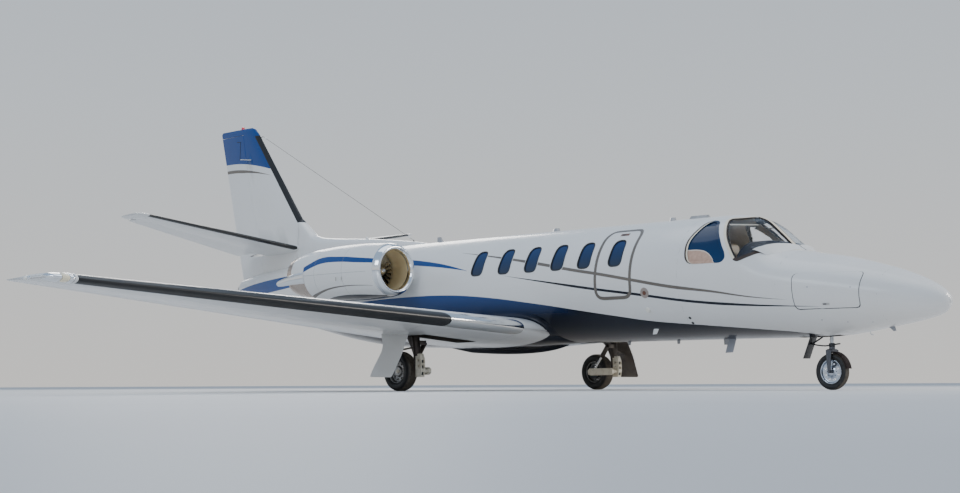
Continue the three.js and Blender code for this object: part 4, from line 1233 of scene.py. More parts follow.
# %% [markdown]
# Fin and spine
#
# Ahead of the fin a hollow spine runs along the top of the tail and sweeps up into the leading edge.
# Its section is a half circle on straight sides, so its points are moved by two rules: those on the
# fin go onto the aerofoil, and those on the round top go onto the true circle, whose size is eased
# from row to row. Both rules move one shared mesh, so the joint between them stays closed.

# %% Fin and spine skin
SPINE = np.array([
    # station, top, half width
    (8.85, 2.240, 0.030), (9.30, 2.308, 0.095), (10.30, 2.412, 0.120), (11.45, 2.502, 0.130),
    (11.70, 2.555, 0.120), (11.90, 2.700, 0.100), (12.10, 2.860, 0.085),
])
SPINE_FLAT = math.pi / 6


def onto_fin(points):
    share, over, depth = foil_place(points, FIN, True)
    flat = halves(share, depth, over, True)[0]
    on_foil = (share > 0) & (share < 1) & (np.abs(np.abs(over) - flat) < 0.0015)
    moved = np.where(on_foil[:, None], onto_foil(points, FIN, True), points)
    station = NOSE_X - points[:, 0]
    top, half = (np.interp(station, SPINE[:, 0], SPINE[:, k]) for k in (1, 2))
    up, across = points[:, 2] - (top - half), points[:, 1]
    angle, out = np.arctan2(up, across), np.hypot(up, across) / half
    off = np.mod(angle, SPINE_FLAT) - SPINE_FLAT / 2
    out = out * np.cos(off) / math.cos(SPINE_FLAT / 2)
    smooth_top, smooth_half = eased(SPINE, station, 1), eased(SPINE, station, 2)
    round_top = ~on_foil & (station < SPINE[-1, 0]) & (up > -0.001) & (np.abs(out - 1) < 0.03)
    fair = np.stack([points[:, 0], smooth_half * np.cos(angle),
                     smooth_top - smooth_half + smooth_half * np.sin(angle)], axis=1)
    return np.where(round_top[:, None], fair, moved)


spine_planes = [plane_across(0, at(s)) for s in np.arange(8.95, 12.1, 0.07)]
spine_planes += [plane_across(1, y) for y in np.linspace(-0.12, 0.12, 13) if abs(y) > 0.001]
mesh = sliced("fin", foil_planes(FIN, True) + spine_planes)
put_points(mesh, onto_fin(points_of(mesh)))
mesh.verts.index_update()


def fin_finish(face):
    """The beacon on the tip is a red lens, and the blade aerials are white."""
    middle = face.calc_center_median()
    if middle.z > 4.562:
        return 1
    return 2 if abs(middle.y) > 0.075 and 3.9 < middle.z < 4.1 else 0


def lens(name, colour, painted_glint=0.0):
    """A moulded lens: coloured clear plastic with the fine ribs that spread its light."""
    nodes = Nodes(name)
    ribs = nodes.add("TexWave", nodes.where(), 90.0, 0.0)
    nodes.bump(ribs, 0.3, 0.0008)
    # The emission is a painted glint of light on the lens.
    nodes.shader.inputs["Emission Strength"].default_value = painted_glint
    return nodes.set(base_color=colour, roughness=0.12, coat_weight=1.0, coat_roughness=0.02,
                     emission_color=colour)


red_lens = lens("beacon_lens", (0.55, 0.02, 0.02, 1), 0.25)
skin_piece("fin", mesh, [fin_paint, red_lens, white_paint], choose=fin_finish, sharp=28)
print("fin and spine done")

# %% [markdown]
# Skin below the rudder
#
# The record cuts the tail cone off level where the rudder swings. The hinge leans aft, so the rudder
# rises as it turns, and the skin can run on below it. It is drawn about a centimetre under the
# rudder's foot, behind the hinge pin at its front and short of the trailing edge's path behind.

# %% Crown of the tail cone
CROWN_BASE, CROWN_END = 1.7835, 13.61
HINGE_FOOT, HINGE_LEAN = 13.042, 0.261
# how far the skin sinks below the rudder's foot, and how far out
FOOT_ROOM, FOOT_HALF = 0.013, 0.11


def crown_front(out, height):
    """The station where the crown starts, behind the hinge and clear of its pin."""
    return HINGE_FOOT + HINGE_LEAN * (height - CROWN_BASE) + 0.026 * np.exp(-(out / 0.035) ** 2)


def crown_point(share, station):
    """A point between the two lower edges at a station, sunk below the rudder's foot."""
    top, bottom, half, middle = frame_at(np.asarray(station, float))
    rim = np.arcsin((CROWN_BASE - middle) / (top - middle))
    point = skin_point(station, rim + share * (math.pi - 2 * rim))
    sunk = 0.001 + FOOT_ROOM * math.exp(-(point[1] / FOOT_HALF) ** 4)
    point[2] = max(point[2] - sunk, CROWN_BASE)
    return point


def tail_cone_crown(columns=41, steps=24):
    rows = []
    for share in np.linspace(0, 1, columns):
        start = HINGE_FOOT
        for attempt in range(6):
            point = crown_point(share, start)
            start = crown_front(point[1], point[2])
        line = [crown_point(share, s) for s in np.linspace(start, CROWN_END, steps)]
        ends = [(p[0], p[1], CROWN_BASE) for p in (line[0], line[-1])]
        rows.append([ends[0], *line, ends[1]])
    return make_mesh("tail_cone_crown", *ring_mesh(rows, False, False), 40)


add_object("tail_cone_crown", tail_cone_crown(), [fuselage_paint], "airframe", "white_paint")
print("tail cone closed below the rudder, stations", HINGE_FOOT, "to", CROWN_END)

# %% [markdown]
# Wing root fillets and the belly fairing
#
# Where a wing meets a round body, a sharp corner would make the air swirl, so a small cove is faired
# in. Its section is a quarter circle that is tangent to the wing on one side and to the body on the
# other. It is laid along the whole root section, round the nose of the wing, and it takes the
# fuselage's paint, so that the blue of the belly runs onto it. The belly fairing is a soft-cornered
# tub below the wing, drawn from a few widths and depths and eased between them.

# %% Fillets and fairing
FILLET = 0.085
FAIRING_DEEP = 0.15
FAIRING = np.array([
    # station, half width, bottom
    (5.75, 0.22, 0.655), (6.00, 0.45, 0.640), (6.50, 0.60, 0.612), (7.60, 0.60, 0.612), (8.60, 0.45, 0.640),
    (9.05, 0.22, 0.655),
])


def foil_point(table, span, share, up):
    """Station and height of a place on a section's upper surface, or on its lower one."""
    front, height, chord, depth, drop = section_at(table, span)
    half = max(THINNEST, depth * foil_half(share)) * (OVER if up > 0 else UNDER)
    return front + share * chord, height - share * drop + up * half


def fillet_rows(side):
    rows = []
    shares = 0.5 * (1 - np.cos(np.linspace(0.0, math.pi, 64)))
    path = [(u, 1) for u in shares[::-1]] + [(u, -1) for u in shares[1:]]
    spots = [foil_point(WING, 0.82, u, up) for u, up in path]
    for i, (u, up) in enumerate(path):
        before, after = spots[max(0, i - 1)], spots[min(len(spots) - 1, i + 1)]
        run = np.array(after) - np.array(before)
        out = np.array((run[1], -run[0])) / max(1e-9, np.hypot(*run))
        radius = FILLET * min(1.0, 0.25 + 3.0 * (1 - u))
        row = []
        for t in np.linspace(0, math.pi / 2, 9):
            away, off = radius * (1 - math.sin(t)), radius * (1 - math.cos(t))
            base = float(side_of_body(*spots[i]))
            station, height = foil_point(WING, base + away, u, up)
            station, height = station + out[0] * off, height + out[1] * off
            y = float(side_of_body(station, height)) + away
            row.append((at(station), side * (y + 0.0006), height))
        rows.append(row)
    return rows


for name, side in SIDES:
    fillet = ring_mesh(fillet_rows(side), False, False)
    build("root_fillet_" + name, fuselage_paint, [fillet], slot="white_paint", sharp=60)


def fairing_rows():
    rows = []
    for s in np.linspace(FAIRING[0, 0], FAIRING[-1, 0], 61):
        half, bottom = float(eased(FAIRING, s, 1)), float(eased(FAIRING, s, 2))
        row = []
        for t in np.linspace(-math.pi * 1.06, math.pi * 0.06, 41):
            row.append((at(s), half * squared(math.cos(t), 0.7),
                        bottom + FAIRING_DEEP + FAIRING_DEEP * squared(math.sin(t), 0.7)))
        rows.append(row)
    return rows


fairing = ring_mesh(fairing_rows(), False, False)
build("belly_fairing_skin", fuselage_paint, [fairing], "airframe", "navy_paint", ["belly_fairing"], 50)
print("fillets of", FILLET, "m and the belly fairing")

# %% [markdown]
# Metals
#
# Bare metal on an aircraft is never one grey. The intake lips and leading edges are polished until they
# mirror the ground, the jet pipe is brown as painted shade and a painted reflection of the ground, and
# machined gear parts are dull. The difference is nearly all in roughness and in long fine scratches, so one
# function makes them all.

# %% Metal finishes
def metal(name, colour, rough, scratch=0.05, stretch=(2, 60, 60), stain_and_painted_light=None):
    nodes = Nodes(name)
    brushed = nodes.noise(14, 4.0, stretch)
    nodes.bump(brushed, scratch, 0.0006)
    tone = colour
    # The second tone is a real stain on some metals and painted light on the duct and the jet pipe.
    if stain_and_painted_light:
        tone = nodes.mix(nodes.between(nodes.noise(3.2, 5.0), 0.42, 0.68), colour, stain_and_painted_light)
    uneven = nodes.between(nodes.noise(7, 4.0), 0.3, 0.7, rough * 0.75, rough * 1.35)
    return nodes.set(base_color=tone, metallic=1.0, roughness=uneven)


polished_metal = metal("polished_metal", (0.86, 0.87, 0.88, 1), 0.10, 0.02)
sunlit_duct_metal = metal("sunlit_duct_metal", (0.86, 0.72, 0.44, 1), 0.38, 0.03, (60, 2, 2), (0.78, 0.62, 0.36, 1))
# the duct's warm, bright tone is painted light, standing for sunlight falling into the intake; it mirrors
# little, so it is only partly metallic
sunlit_duct_metal.node_tree.nodes["Principled BSDF"].inputs["Metallic"].default_value = 0.35
# Painted shade and a painted reflection of the ground make the jet pipe brown; its patches vary the tone.
pipe_metal_painted_shade = metal("pipe_metal_painted_shade", (0.50, 0.42, 0.36, 1), 0.24, 0.03, (2, 60, 60), (0.30, 0.22, 0.17, 1))
fan_metal = metal("fan_metal", (0.42, 0.43, 0.45, 1), 0.30, 0.05)
gear_metal = metal("gear_metal", (0.56, 0.58, 0.60, 1), 0.34, 0.06, (8, 8, 8), (0.40, 0.41, 0.41, 1))
dark_metal = metal("dark_metal", (0.06, 0.062, 0.066, 1), 0.5, 0.08, (8, 8, 8))
print("metals")

# %% [markdown]
# Nacelles
#
# A nacelle is a turned shape: a blunt lip, a cowl that swells and draws in again, and the duct back
# inside to the fan. The lip is two quarter ellipses that meet at the highlight, which is how such an
# intake is really drawn. It is a polished ring of its own, so it is a separate piece from the cowl.

# %% Turn the cowl, the lip ring and the duct
ENGINE = {"side": 1.25, "height": 1.765, "lip": 8.29, "fan": 8.68, "cowl_end": 10.0}
HIGHLIGHT, THROAT, COWL_SHOULDER = 0.330, 0.284, 0.400
LIP_LENGTH, THROAT_LENGTH = 0.22, 0.09
RING_BACK, MOUTH_BACK = 0.115, 0.091     # how far the polished ring runs back, outside and inside
CORE_RADIUS = 0.362                      # where cowl and duct meet at the rear
COWL = np.array([(8.51, 0.400), (8.99, 0.420), (9.44, 0.416), (10.0, 0.388)])
# station and height of the painted edges on the cowl
COWL_SPEAR_TOP = ((8.2, 1.897), (8.7, 1.945), (9.17, 1.985), (9.64, 1.985), (9.85, 1.92), (10.0, 1.865))
COWL_SPEAR_LOW = ((8.2, 1.842), (8.7, 1.873), (9.2, 1.906), (9.55, 1.900), (9.8, 1.85), (10.0, 1.79))
COWL_LINE = ((8.45, 1.527), (8.75, 1.542), (9.05, 1.544), (9.4, 1.522), (9.73, 1.471), (10.0, 1.42))
COWL_UNDERSIDE = ((8.3, 1.385), (8.61, 1.404), (8.99, 1.419), (9.3, 1.415), (9.58, 1.393), (10.0, 1.33))
SEAM_HALF = 0.0018


def lathe(profile, y, z, segments=96, closed=True):
    """Points and faces of a profile of (radius, station) turned about a line along X."""
    rows = []
    for turn in circle(segments):
        rows.append([(at(s), y + r * math.cos(turn), z + r * math.sin(turn)) for r, s in profile])
    return ring_mesh(rows, True, closed)


def quarter(start, end, length, steps, lip):
    """A quarter ellipse from the highlight to a radius, reached at a length behind the lip."""
    curve = []
    for k in range(steps + 1):
        t = math.pi / 2 * k / steps
        curve.append((start + (end - start) * math.sin(t), lip + length * (1 - math.cos(t))))
    return curve


def nacelle_scheme(nodes, white):
    """The blue spear crosses the cowl, a thin grey line runs below it, and the underside is blue paint
    darkened to navy as painted shade.
    """
    station, y, z = nodes.side_view()
    out = nodes.math("GREATER_THAN", nodes.math("ABSOLUTE", y), 1.0)
    top = nodes.curve(station, COWL_SPEAR_TOP, 1, 3)
    low = nodes.curve(station, COWL_SPEAR_LOW, 1, 3)
    colour = over(nodes, white, inside(nodes, z, low, top), BLUE)
    line = nodes.curve(station, COWL_LINE, 1, 3)
    off = nodes.math("ABSOLUTE", nodes.math("SUBTRACT", z, line))
    width = nodes.between(station, 8.45, 9.9, 0.0015, 0.016)
    aft_of_lip = nodes.math("GREATER_THAN", station, 8.46)
    on_line = nodes.math("MULTIPLY", nodes.math("LESS_THAN", off, width), aft_of_lip)
    colour = over(nodes, colour, nodes.math("MULTIPLY", on_line, out), TAUPE)
    # navy below this line: the cowl's blue underside darkened as painted shade
    under = nodes.curve(station, COWL_UNDERSIDE, 1, 3)
    colour = over(nodes, colour, nodes.math("LESS_THAN", z, under), NAVY)
    seams = nodes.math("COMPARE", station, 9.06, SEAM_HALF)
    seams = nodes.math("MAXIMUM", seams, nodes.math("COMPARE", station, 9.72, SEAM_HALF))
    split = nodes.math("COMPARE", z, 1.735, SEAM_HALF)
    split = nodes.math("MULTIPLY", split, nodes.math("GREATER_THAN", station, 8.53))
    return nodes.mix(nodes.math("MAXIMUM", seams, split), colour, (0.25, 0.25, 0.25, 1))


nacelle_paint = paint(Nodes("nacelle_paint"), nacelle_scheme)


def cowl_profile():
    lip = ENGINE["lip"]
    nose = quarter(HIGHLIGHT, COWL_SHOULDER, LIP_LENGTH, 12, lip)
    return nose + [(float(eased(COWL, s, 1)), s) for s in np.linspace(8.53, 10.0, 24)]


def duct_profile():
    lip, fan, end = ENGINE["lip"], ENGINE["fan"], ENGINE["cowl_end"]
    throat = quarter(HIGHLIGHT, THROAT, THROAT_LENGTH, 10, lip)
    bell = [(0.286, lip + 0.2), (0.290, lip + 0.32), (0.292, fan + 0.075), (0.385, fan + 0.13),
            (0.385, 9.44), (CORE_RADIUS, end)]
    return throat + bell


for name, side in SIDES:
    y, z, lip = side * ENGINE["side"], ENGINE["height"], ENGINE["lip"]
    outer, inner = cowl_profile(), duct_profile()
    ring = [p for p in outer if p[1] <= lip + RING_BACK]
    mouth = [p for p in inner if p[1] <= lip + MOUTH_BACK]
    (rim_out, rim_out_end), (rim_in, rim_in_end) = ring[-1], mouth[-1]
    back_of_ring = [(rim_in + 0.004, rim_in_end + 0.002), (rim_out - 0.004, rim_out_end + 0.002)]
    lip_ring = lathe(ring[::-1] + mouth[1:] + back_of_ring, y, z)
    build("intake_lip_" + name, polished_metal, [lip_ring], slot="polished_metal")
    cowl = [(rim_out - 0.0012, rim_out_end + 0.001)] + [p for p in outer if p[1] > lip + RING_BACK]
    duct = [p for p in inner if p[1] > lip + MOUTH_BACK]
    skin = lathe(cowl + [(CORE_RADIUS, ENGINE["cowl_end"])], y, z, closed=False)
    bore = lathe([mouth[-1]] + duct, y, z, closed=False)
    data = make_mesh(f"nacelle_{name}_skin", *joined([skin, bore]), sharp=40)
    for face in data.polygons:
        radius = math.hypot(face.center.y - y, face.center.z - z)
        outside = radius > 0.386 and face.center.x > at(9.999)
        face.material_index = 0 if outside else 1
    add_object(f"nacelle_{name}_skin", data, [nacelle_paint, sunlit_duct_metal], "airframe", "white_paint",
               [f"nacelle_{name}"])
print("nacelles: lip", round(2 * HIGHLIGHT, 2), "m across the highlight")

# %% [markdown]
# Fan, core and exhaust
#
# The fan is a row of twisted blades on a spinner. Each blade starts nearly along the airflow at the
# root and turns across it towards the tip, because the tip moves faster. One blade is lofted from a
# few sections and repeated round the hub. Behind it stand fixed vanes, which hide the dark core.

# %% Fan, vanes, core and jet pipe
BLADES = 22
VANES = 28
# rows from the root to the tip: radius, chord, twist and sideways lean
FAN_ROWS = ((0.085, 0.13, 0.18, 0.23, 0.274), (0.052, 0.060, 0.068, 0.072, 0.070),
            (0.35, 0.62, 0.85, 1.02, 1.12), (0, 0.002, 0.005, 0.004, -0.004))
VANE_ROWS = ((0.10, 0.20, 0.288), (0.06, 0.07, 0.075), (-0.3, -0.25, -0.2), (0, 0, 0))
# radius and place behind the fan's front
SPINNER = ((0.002, -0.13), (0.020, -0.122), (0.042, -0.100), (0.065, -0.065), (0.083, -0.025),
           (0.092, 0.015), (0.092, 0.09), (0.002, 0.095))
# radius and station
CORE = ((0.002, 8.79), (0.11, 8.80), (0.13, 8.83), (0.15, 9.05), (0.24, 9.10), (0.24, 9.94), (0.11, 10.12),
        (0.04, 10.18), (0.002, 10.20))
SHROUD = ((0.384, 8.835), (0.384, 9.05), (0.30, 9.055), (0.296, 8.835))
PIPE = ((0.378, 10.0003), (0.374, 10.08), (0.362, 10.2), (0.345, 10.31), (0.330, 10.37), (0.312, 10.45),
        (0.292, 10.519), (0.288, 10.52), (0.283, 10.518), (0.300, 10.36), (0.318, 10.15), (0.325, 10.0003))


# corners of a blade's section, as shares of its half chord and half thickness
BLADE_SECTION = ((-1, 0), (-0.6, 1), (0.1, 1.25), (0.7, 0.8), (1, 0), (0.7, -0.35), (0.1, -0.2), (-0.6, -0.3))


def blade_rows(radii, chords, twists, sweep, thickness, face, y, z, turn):
    rows = []
    for radius, chord, twist, lean in zip(radii, chords, twists, sweep):
        row = []
        for u, v in BLADE_SECTION:
            along, thick = u * chord / 2, v * thickness / 2
            forward = along * math.cos(twist) - thick * math.sin(twist)
            sideways = along * math.sin(twist) + thick * math.cos(twist) + lean
            row.append((at(face) - forward, y + radius * math.cos(turn) - sideways * math.sin(turn),
                        z + radius * math.sin(turn) + sideways * math.cos(turn)))
        rows.append(row)
    return rows


def blade_set(count, radii, chords, twists, sweep, thickness, face, y, z):
    return [capped(blade_rows(radii, chords, twists, sweep, thickness, face, y, z, turn))
            for turn in circle(count)]


STANG = np.array([
    # station, distance out, height over the axis, half width, half height
    (9.990, 0.350, -0.047, 0.052, 0.098), (10.30, 0.335, -0.066, 0.046, 0.080),
    (10.60, 0.312, -0.100, 0.038, 0.056), (10.72, 0.302, -0.113, 0.028, 0.040),
    (10.755, 0.300, -0.116, 0.014, 0.020),
])


def stang_mesh(way, y, z):
    """The fairing beside the jet pipe, from its row of ellipses, closed by a small round end."""
    rows = []
    for s in np.concatenate([np.linspace(9.99, 10.7, 22), np.linspace(10.71, 10.755, 6)]):
        out, up, wide, high = (float(eased(STANG, s, k)) for k in (1, 2, 3, 4))
        rows.append([(at(s), y + way * out + wide * math.cos(t), z + up + high * math.sin(t))
                     for t in circle(28)])
    return capped(rows)


for name, side in SIDES:
    y, z, fan = side * ENGINE["side"], ENGINE["height"], ENGINE["fan"]
    parts = blade_set(BLADES, *FAN_ROWS, 0.005, fan + 0.035, y, z)
    parts.append(lathe([(radius, fan + place) for radius, place in SPINNER], y, z, 48))
    build(f"fan_{name}_blades", fan_metal, parts, f"fan_{name}", "engine_metal", [f"fan_{name}"])
    parts = blade_set(VANES, *VANE_ROWS, 0.004, fan + 0.175, y, z)
    parts += [lathe(CORE, y, z, 48), lathe(SHROUD, y, z, 64)]
    node = f"engine_core_{name}"
    build(node + "_block", dark_metal, parts, slot="engine_metal", replaces=[node])
    data = make_mesh(f"jet_pipe_{name}_shell", *lathe(PIPE, y, z), sharp=50)
    for face in data.polygons:
        radius = math.hypot(face.center.y - y, face.center.z - z)
        painted = face.center.z > z - 0.02 and NOSE_X - face.center.x < 10.37 and radius > 0.329
        face.material_index = 1 if painted else 0
    add_object(f"jet_pipe_{name}_shell", data, [pipe_metal_painted_shade, white_paint], "airframe", "polished_metal",
               [f"jet_pipe_{name}"])
    arms = [stang_mesh(1, y, z), stang_mesh(-1, y, z)]
    build("reverser_arms_" + name, polished_metal, arms, slot="polished_metal", sharp=50)
print("fan of", BLADES, "blades in front of", VANES, "vanes")

# %% [markdown]
# Cabin windows
#
# A cabin window is a pane held from inside the wall, so it lies a little back from the skin. The
# opening is already in the shell. The pane is a patch of the fuselage form, set in by its depth in
# the wall and a bit larger than the hole, so that its edge hides in the wall. A seal is swept round
# inside the rim and a thin painted frame round outside it, on the loops that the shells have.

# %% Panes, seals and frames of the cabin windows
WINDOW_STATIONS = (4.505, 5.058, 5.552, 6.057, 6.576, 7.120)
PANE_BACK = 0.014
PANE_HALF = 0.134
PANE_LOW, PANE_HIGH = 1.612, 2.004


def body_patch(station, half, low, high, side, back, steps=(10, 14)):
    """A grid on the fuselage form between two stations and two heights, set in by back."""
    rows = []
    for s in np.linspace(station - half, station + half, steps[0]):
        heights = np.linspace(low, high, steps[1])
        level = side_of_body(s, heights)
        rows.append([(at(s), side * (y - back), z) for y, z in zip(level, heights)])
    return ring_mesh(rows, False, False)


for name, side in SIDES:
    for number, station in enumerate(WINDOW_STATIONS, 1):
        pane = body_patch(station, PANE_HALF, PANE_LOW, PANE_HIGH, side, PANE_BACK)
        in_exit = station == WINDOW_STATIONS[0] and name == "right"
        body = body_of("emergency_exit") if in_exit else "airframe"
        build(f"cabin_window_{name}_{number}", window_acrylic, [pane], body, "window_acrylic")

WINDOW_SEAL = ((-0.012, -0.016), (-0.012, -0.002), (-0.004, 0.0016), (0.004, 0.002), (0.005, 0.0))
WINDOW_FRAME = ((0.005, 0.0), (0.006, 0.0022), (0.013, 0.0022), (0.014, 0.0))
loops = []
for node in ("cabin_shell_forward", "cabin_shell_aft", "emergency_exit"):
    loops += trims_for(node, 1.6, 0.8)
build("cabin_window_seals", black_rubber, [swept(loop, WINDOW_SEAL) for loop in loops])
build("cabin_window_frames", white_paint, [swept(loop, WINDOW_FRAME) for loop in loops])
print("cabin window openings found:", len(loops))

# %% [markdown]
# Band round the emergency exit
#
# An exit has to be found in a hurry, so a warm grey band is painted along its edge. A masked band is
# a few hundredths of a millimetre of enamel: here it is a flat ribbon that stands a millimetre off
# the skin, so that the two never fight for the same place.

# %% Painted bands
BAND = ((-0.050, 0.0006), (-0.0495, 0.0012), (-0.0035, 0.0012), (-0.003, 0.0006))
exit_rims = [loop for loop in trims_for("cabin_shell_forward", 4.0, 2.0) if loop[:, 1].max() < 0]
build("emergency_exit_band", plain_paint("taupe_paint", TAUPE), [swept(loop, BAND) for loop in exit_rims])
print("bands round the exit:", len(exit_rims))

# %% [markdown]
# Tyres
#
# Aircraft tyres have plain grooves round the tread and no blocks, since they only roll straight.
# The section goes from the bead up the sidewall, over the shoulder and across the ribs, and it is
# turned about the axle. The rubber is dusty where it touches the ground, so the shader lightens the
# tread by its distance from the axle.

# %% Turn the tyres
NOSE_WHEEL = {"station": 1.648, "side": 0.0, "radius": 0.224, "width": 0.098, "axle": 0.020, "bead": 0.67}
MAIN_WHEEL = {"station": 7.33, "side": 2.03, "radius": 0.272, "width": 0.196, "axle": 0.030, "bead": 0.60}


# shares of a tyre's height and of its half width, from above the bead to the shoulder
SIDEWALL = ((0.34, 0.965), (0.50, 1.0), (0.64, 0.99), (0.78, 0.92), (0.88, 0.80), (0.95, 0.62))


def tyre_section(radius, width, bead, grooves):
    """Pairs of (radius, across) from the inner bead round to the outer one."""
    half = width / 2
    wall = [(bead + 0.0006, 0.70), (bead + 0.006, 0.76), (bead + 0.012, 0.80), (bead + 0.018, 0.90)]
    wall = [(r, w * half) for r, w in wall]
    tall = radius - bead
    wall += [(bead + tall * r, w * half) for r, w in SIDEWALL]
    tread = []
    rib = 0.55 * half
    for k in range(grooves):
        centre = -rib + 2 * rib * (k + 0.5) / grooves
        for across, deep in ((-0.0045, 0), (-0.0025, 0.006), (0.0025, 0.006), (0.0045, 0)):
            place = centre + across
            crown = radius - 0.02 * tall * (place / half) ** 2
            tread.append((crown - deep, place))
    return [(r, -w) for r, w in wall] + tread + [(r, w) for r, w in reversed(wall)]


def turned_y(section, station, side, height, segments=96):
    """Points and faces of a section of (radius, across) turned about an axle along Y."""
    rows = []
    for turn in circle(segments):
        rows.append([(at(station) + r * math.cos(turn), side + w, height + r * math.sin(turn))
                     for r, w in section])
    return ring_mesh(rows)


def tyre_rubber(name, station, height, radius):
    nodes = Nodes(name)
    place = nodes.axes()
    along, up = nodes.math("SUBTRACT", place[0], at(station)), nodes.math("SUBTRACT", place[2], height)
    squares = nodes.math("ADD", nodes.math("MULTIPLY", along, along), nodes.math("MULTIPLY", up, up))
    out = nodes.math("SQRT", squares)
    worn = nodes.between(out, radius * 0.93, radius * 0.985)
    dust = nodes.math("MULTIPLY", worn, nodes.between(nodes.noise(40, 4.0), 0.3, 0.7, 0.5, 1.0))
    tone = nodes.mix(dust, (0.013, 0.013, 0.014, 1), (0.15, 0.125, 0.095, 1))
    nodes.bump(nodes.noise(300, 3.0), 0.25, 0.0005)
    rings = nodes.math("SINE", nodes.math("MULTIPLY", out, 900.0))
    rough = nodes.between(rings, -1, 1, 0.5, 0.62)
    return nodes.set(base_color=tone, roughness=rough)


# label, tyre and rim nodes, side, wheel, grooves
WHEELS = [("nose", "nose_tyre", "nose_rim", 0.0, NOSE_WHEEL, 3)]
for name, side in SIDES:
    WHEELS.append((f"main_{name}", f"main_tyre_{name}", f"main_rim_{name}", side, MAIN_WHEEL, 5))
for label, tyre, rim, side, wheel, grooves in WHEELS:
    section = tyre_section(wheel["radius"], wheel["width"], wheel["radius"] * wheel["bead"], grooves)
    turned = turned_y(section, wheel["station"], side * wheel["side"], wheel["radius"])
    coat = tyre_rubber(label + "_tyre_rubber", wheel["station"], wheel["radius"], wheel["radius"])
    build(tyre + "_ribbed", coat, [turned], body_of(tyre), "tyre_rubber", [tyre], 40)
print("tyres with", WHEELS[0][-1], "and", WHEELS[1][-1], "grooves")

# %% [markdown]
# Wheel rims
#
# A small wheel is two halves of cast light alloy bolted together. The dish is turned, its vent holes
# are drilled with a boolean, and the bolts stand in a ring between the holes and the hub. The nose
# wheel is a bright blue grey; the main wheels are duller and stained with brake dust.

# %% Turn the rims, drill them and set the bolts
def evaluated(piece, name):
    """The mesh of a piece with its modifiers applied."""
    data = bpy.data.meshes.new_from_object(piece.evaluated_get(bpy.context.evaluated_depsgraph_get()))
    data.name = name
    return data


def drilled(data, cutters):
    """Cuts a joined mesh of cutters out of another with an applied boolean."""
    body = bpy.data.objects.new("drill_body", data)
    tool = bpy.data.objects.new("drill_tool", cutters)
    for thing in (body, tool):
        bpy.context.scene.collection.objects.link(thing)
    cut = body.modifiers.new("cut", "BOOLEAN")
    cut.operation, cut.object, cut.solver = "DIFFERENCE", tool, "EXACT"
    ready = evaluated(body, data.name)
    for thing in (body, tool):
        bpy.data.objects.remove(thing)
    return shade(ready, 32)


def post(start, end, radius, segments=16, radius_to=None):
    """A closed round bar between two points."""
    start, end = Vector(start), Vector(end)
    along = (end - start).normalized()
    right = along.orthogonal().normalized()
    over_it = along.cross(right)
    rows = []
    for spot, r in ((start, radius), (end, radius if radius_to is None else radius_to)):
        rows.append([spot + right * (r * math.cos(t)) + over_it * (r * math.sin(t))
                     for t in circle(segments)])
    return capped(rows)


def rim_section(wheel):
    bead, half, hub = wheel["radius"] * wheel["bead"], wheel["width"] / 2, wheel["axle"] + 0.0012
    face = [
        (hub, 0.52), (hub * 1.9, 0.52), (hub * 2.05, 0.47), (bead * 0.48, 0.30), (bead * 0.80, 0.27),
        (bead * 0.87, 0.34), (bead * 0.90, 0.62), (bead * 0.93, 0.76), (bead * 0.97, 0.80), (bead, 0.78),
        (bead, 0.70), (bead - 0.004, 0.66), (bead - 0.012, 0.40),
    ]
    face = [(r, w * half) for r, w in face]
    return [(r, -w) for r, w in face] + [(r, w) for r, w in reversed(face)]


nose_alloy = metal("nose_wheel_alloy", (0.55, 0.60, 0.68, 1), 0.20, 0.04, (60, 2, 60))
main_alloy = metal("main_wheel_alloy", (0.42, 0.43, 0.43, 1), 0.36, 0.05, (8, 8, 8), (0.22, 0.21, 0.20, 1))
HOLE_RING, BOLT_RING = 0.66, 0.44        # radii of the two rings as shares of the bead's


def rim_pin(wheel, y, ring, turn, reach, radius, segments):
    """A pin along the axle's direction, at a share of the bead's radius from the axle."""
    out = wheel["radius"] * wheel["bead"] * ring
    x, z = at(wheel["station"]) + out * math.cos(turn), wheel["radius"] + out * math.sin(turn)
    return post((x, y - reach, z), (x, y + reach, z), radius, segments)


for label, tyre, rim, side, wheel, grooves in WHEELS:
    y, bead = side * wheel["side"], wheel["radius"] * wheel["bead"]
    holes, bolts = [], []
    count = 8 if label == "nose" else 9
    reach = wheel["width"] / 2 * 0.40
    for turn in circle(count):
        holes.append(rim_pin(wheel, y, HOLE_RING, turn + math.pi / count, 0.2, bead * 0.10, 20))
        bolts.append(rim_pin(wheel, y, BOLT_RING, turn, reach, 0.006, 6))
        bolts.append(rim_pin(wheel, y, BOLT_RING, turn, reach + 0.004, 0.003, 8))
    dish = make_mesh(rim + "_dish", *turned_y(rim_section(wheel), wheel["station"], y, wheel["radius"], 72))
    cutters = make_mesh("holes", *joined(holes))
    alloy = nose_alloy if label == "nose" else main_alloy
    add_object(rim + "_drilled", drilled(dish, cutters), [alloy], body_of(rim), "gear_metal", [rim])
    build(rim + "_bolts", dark_metal, bolts, body_of(rim))
print("rims drilled:", len(WHEELS))

# %% [markdown]
# Gear legs and doors
#
# A gear leg is castings and machined tubes, and what tells them apart from a few metres away is the
# finish of each: cream enamel on the castings, bright sliding tubes, dark links and stays. The solids
# already have the right form. Each is copied, its corners are broken with a small bevel as a fitter
# would break them, and every face takes the finish of the part it belongs to.

# %% Break the corners of a solid
def kept_mesh(node):
    """A node's own mesh with its flat faces whole again."""
    mesh = bmesh.new()
    mesh.from_mesh(frame["nodes"][node].data)
    bmesh.ops.remove_doubles(mesh, verts=mesh.verts, dist=2e-5)
    bmesh.ops.dissolve_limit(mesh, angle_limit=math.radians(0.5), verts=mesh.verts, edges=mesh.edges)
    data = bpy.data.meshes.new(node + "_soft")
    mesh.to_mesh(data)
    mesh.free()
    return data


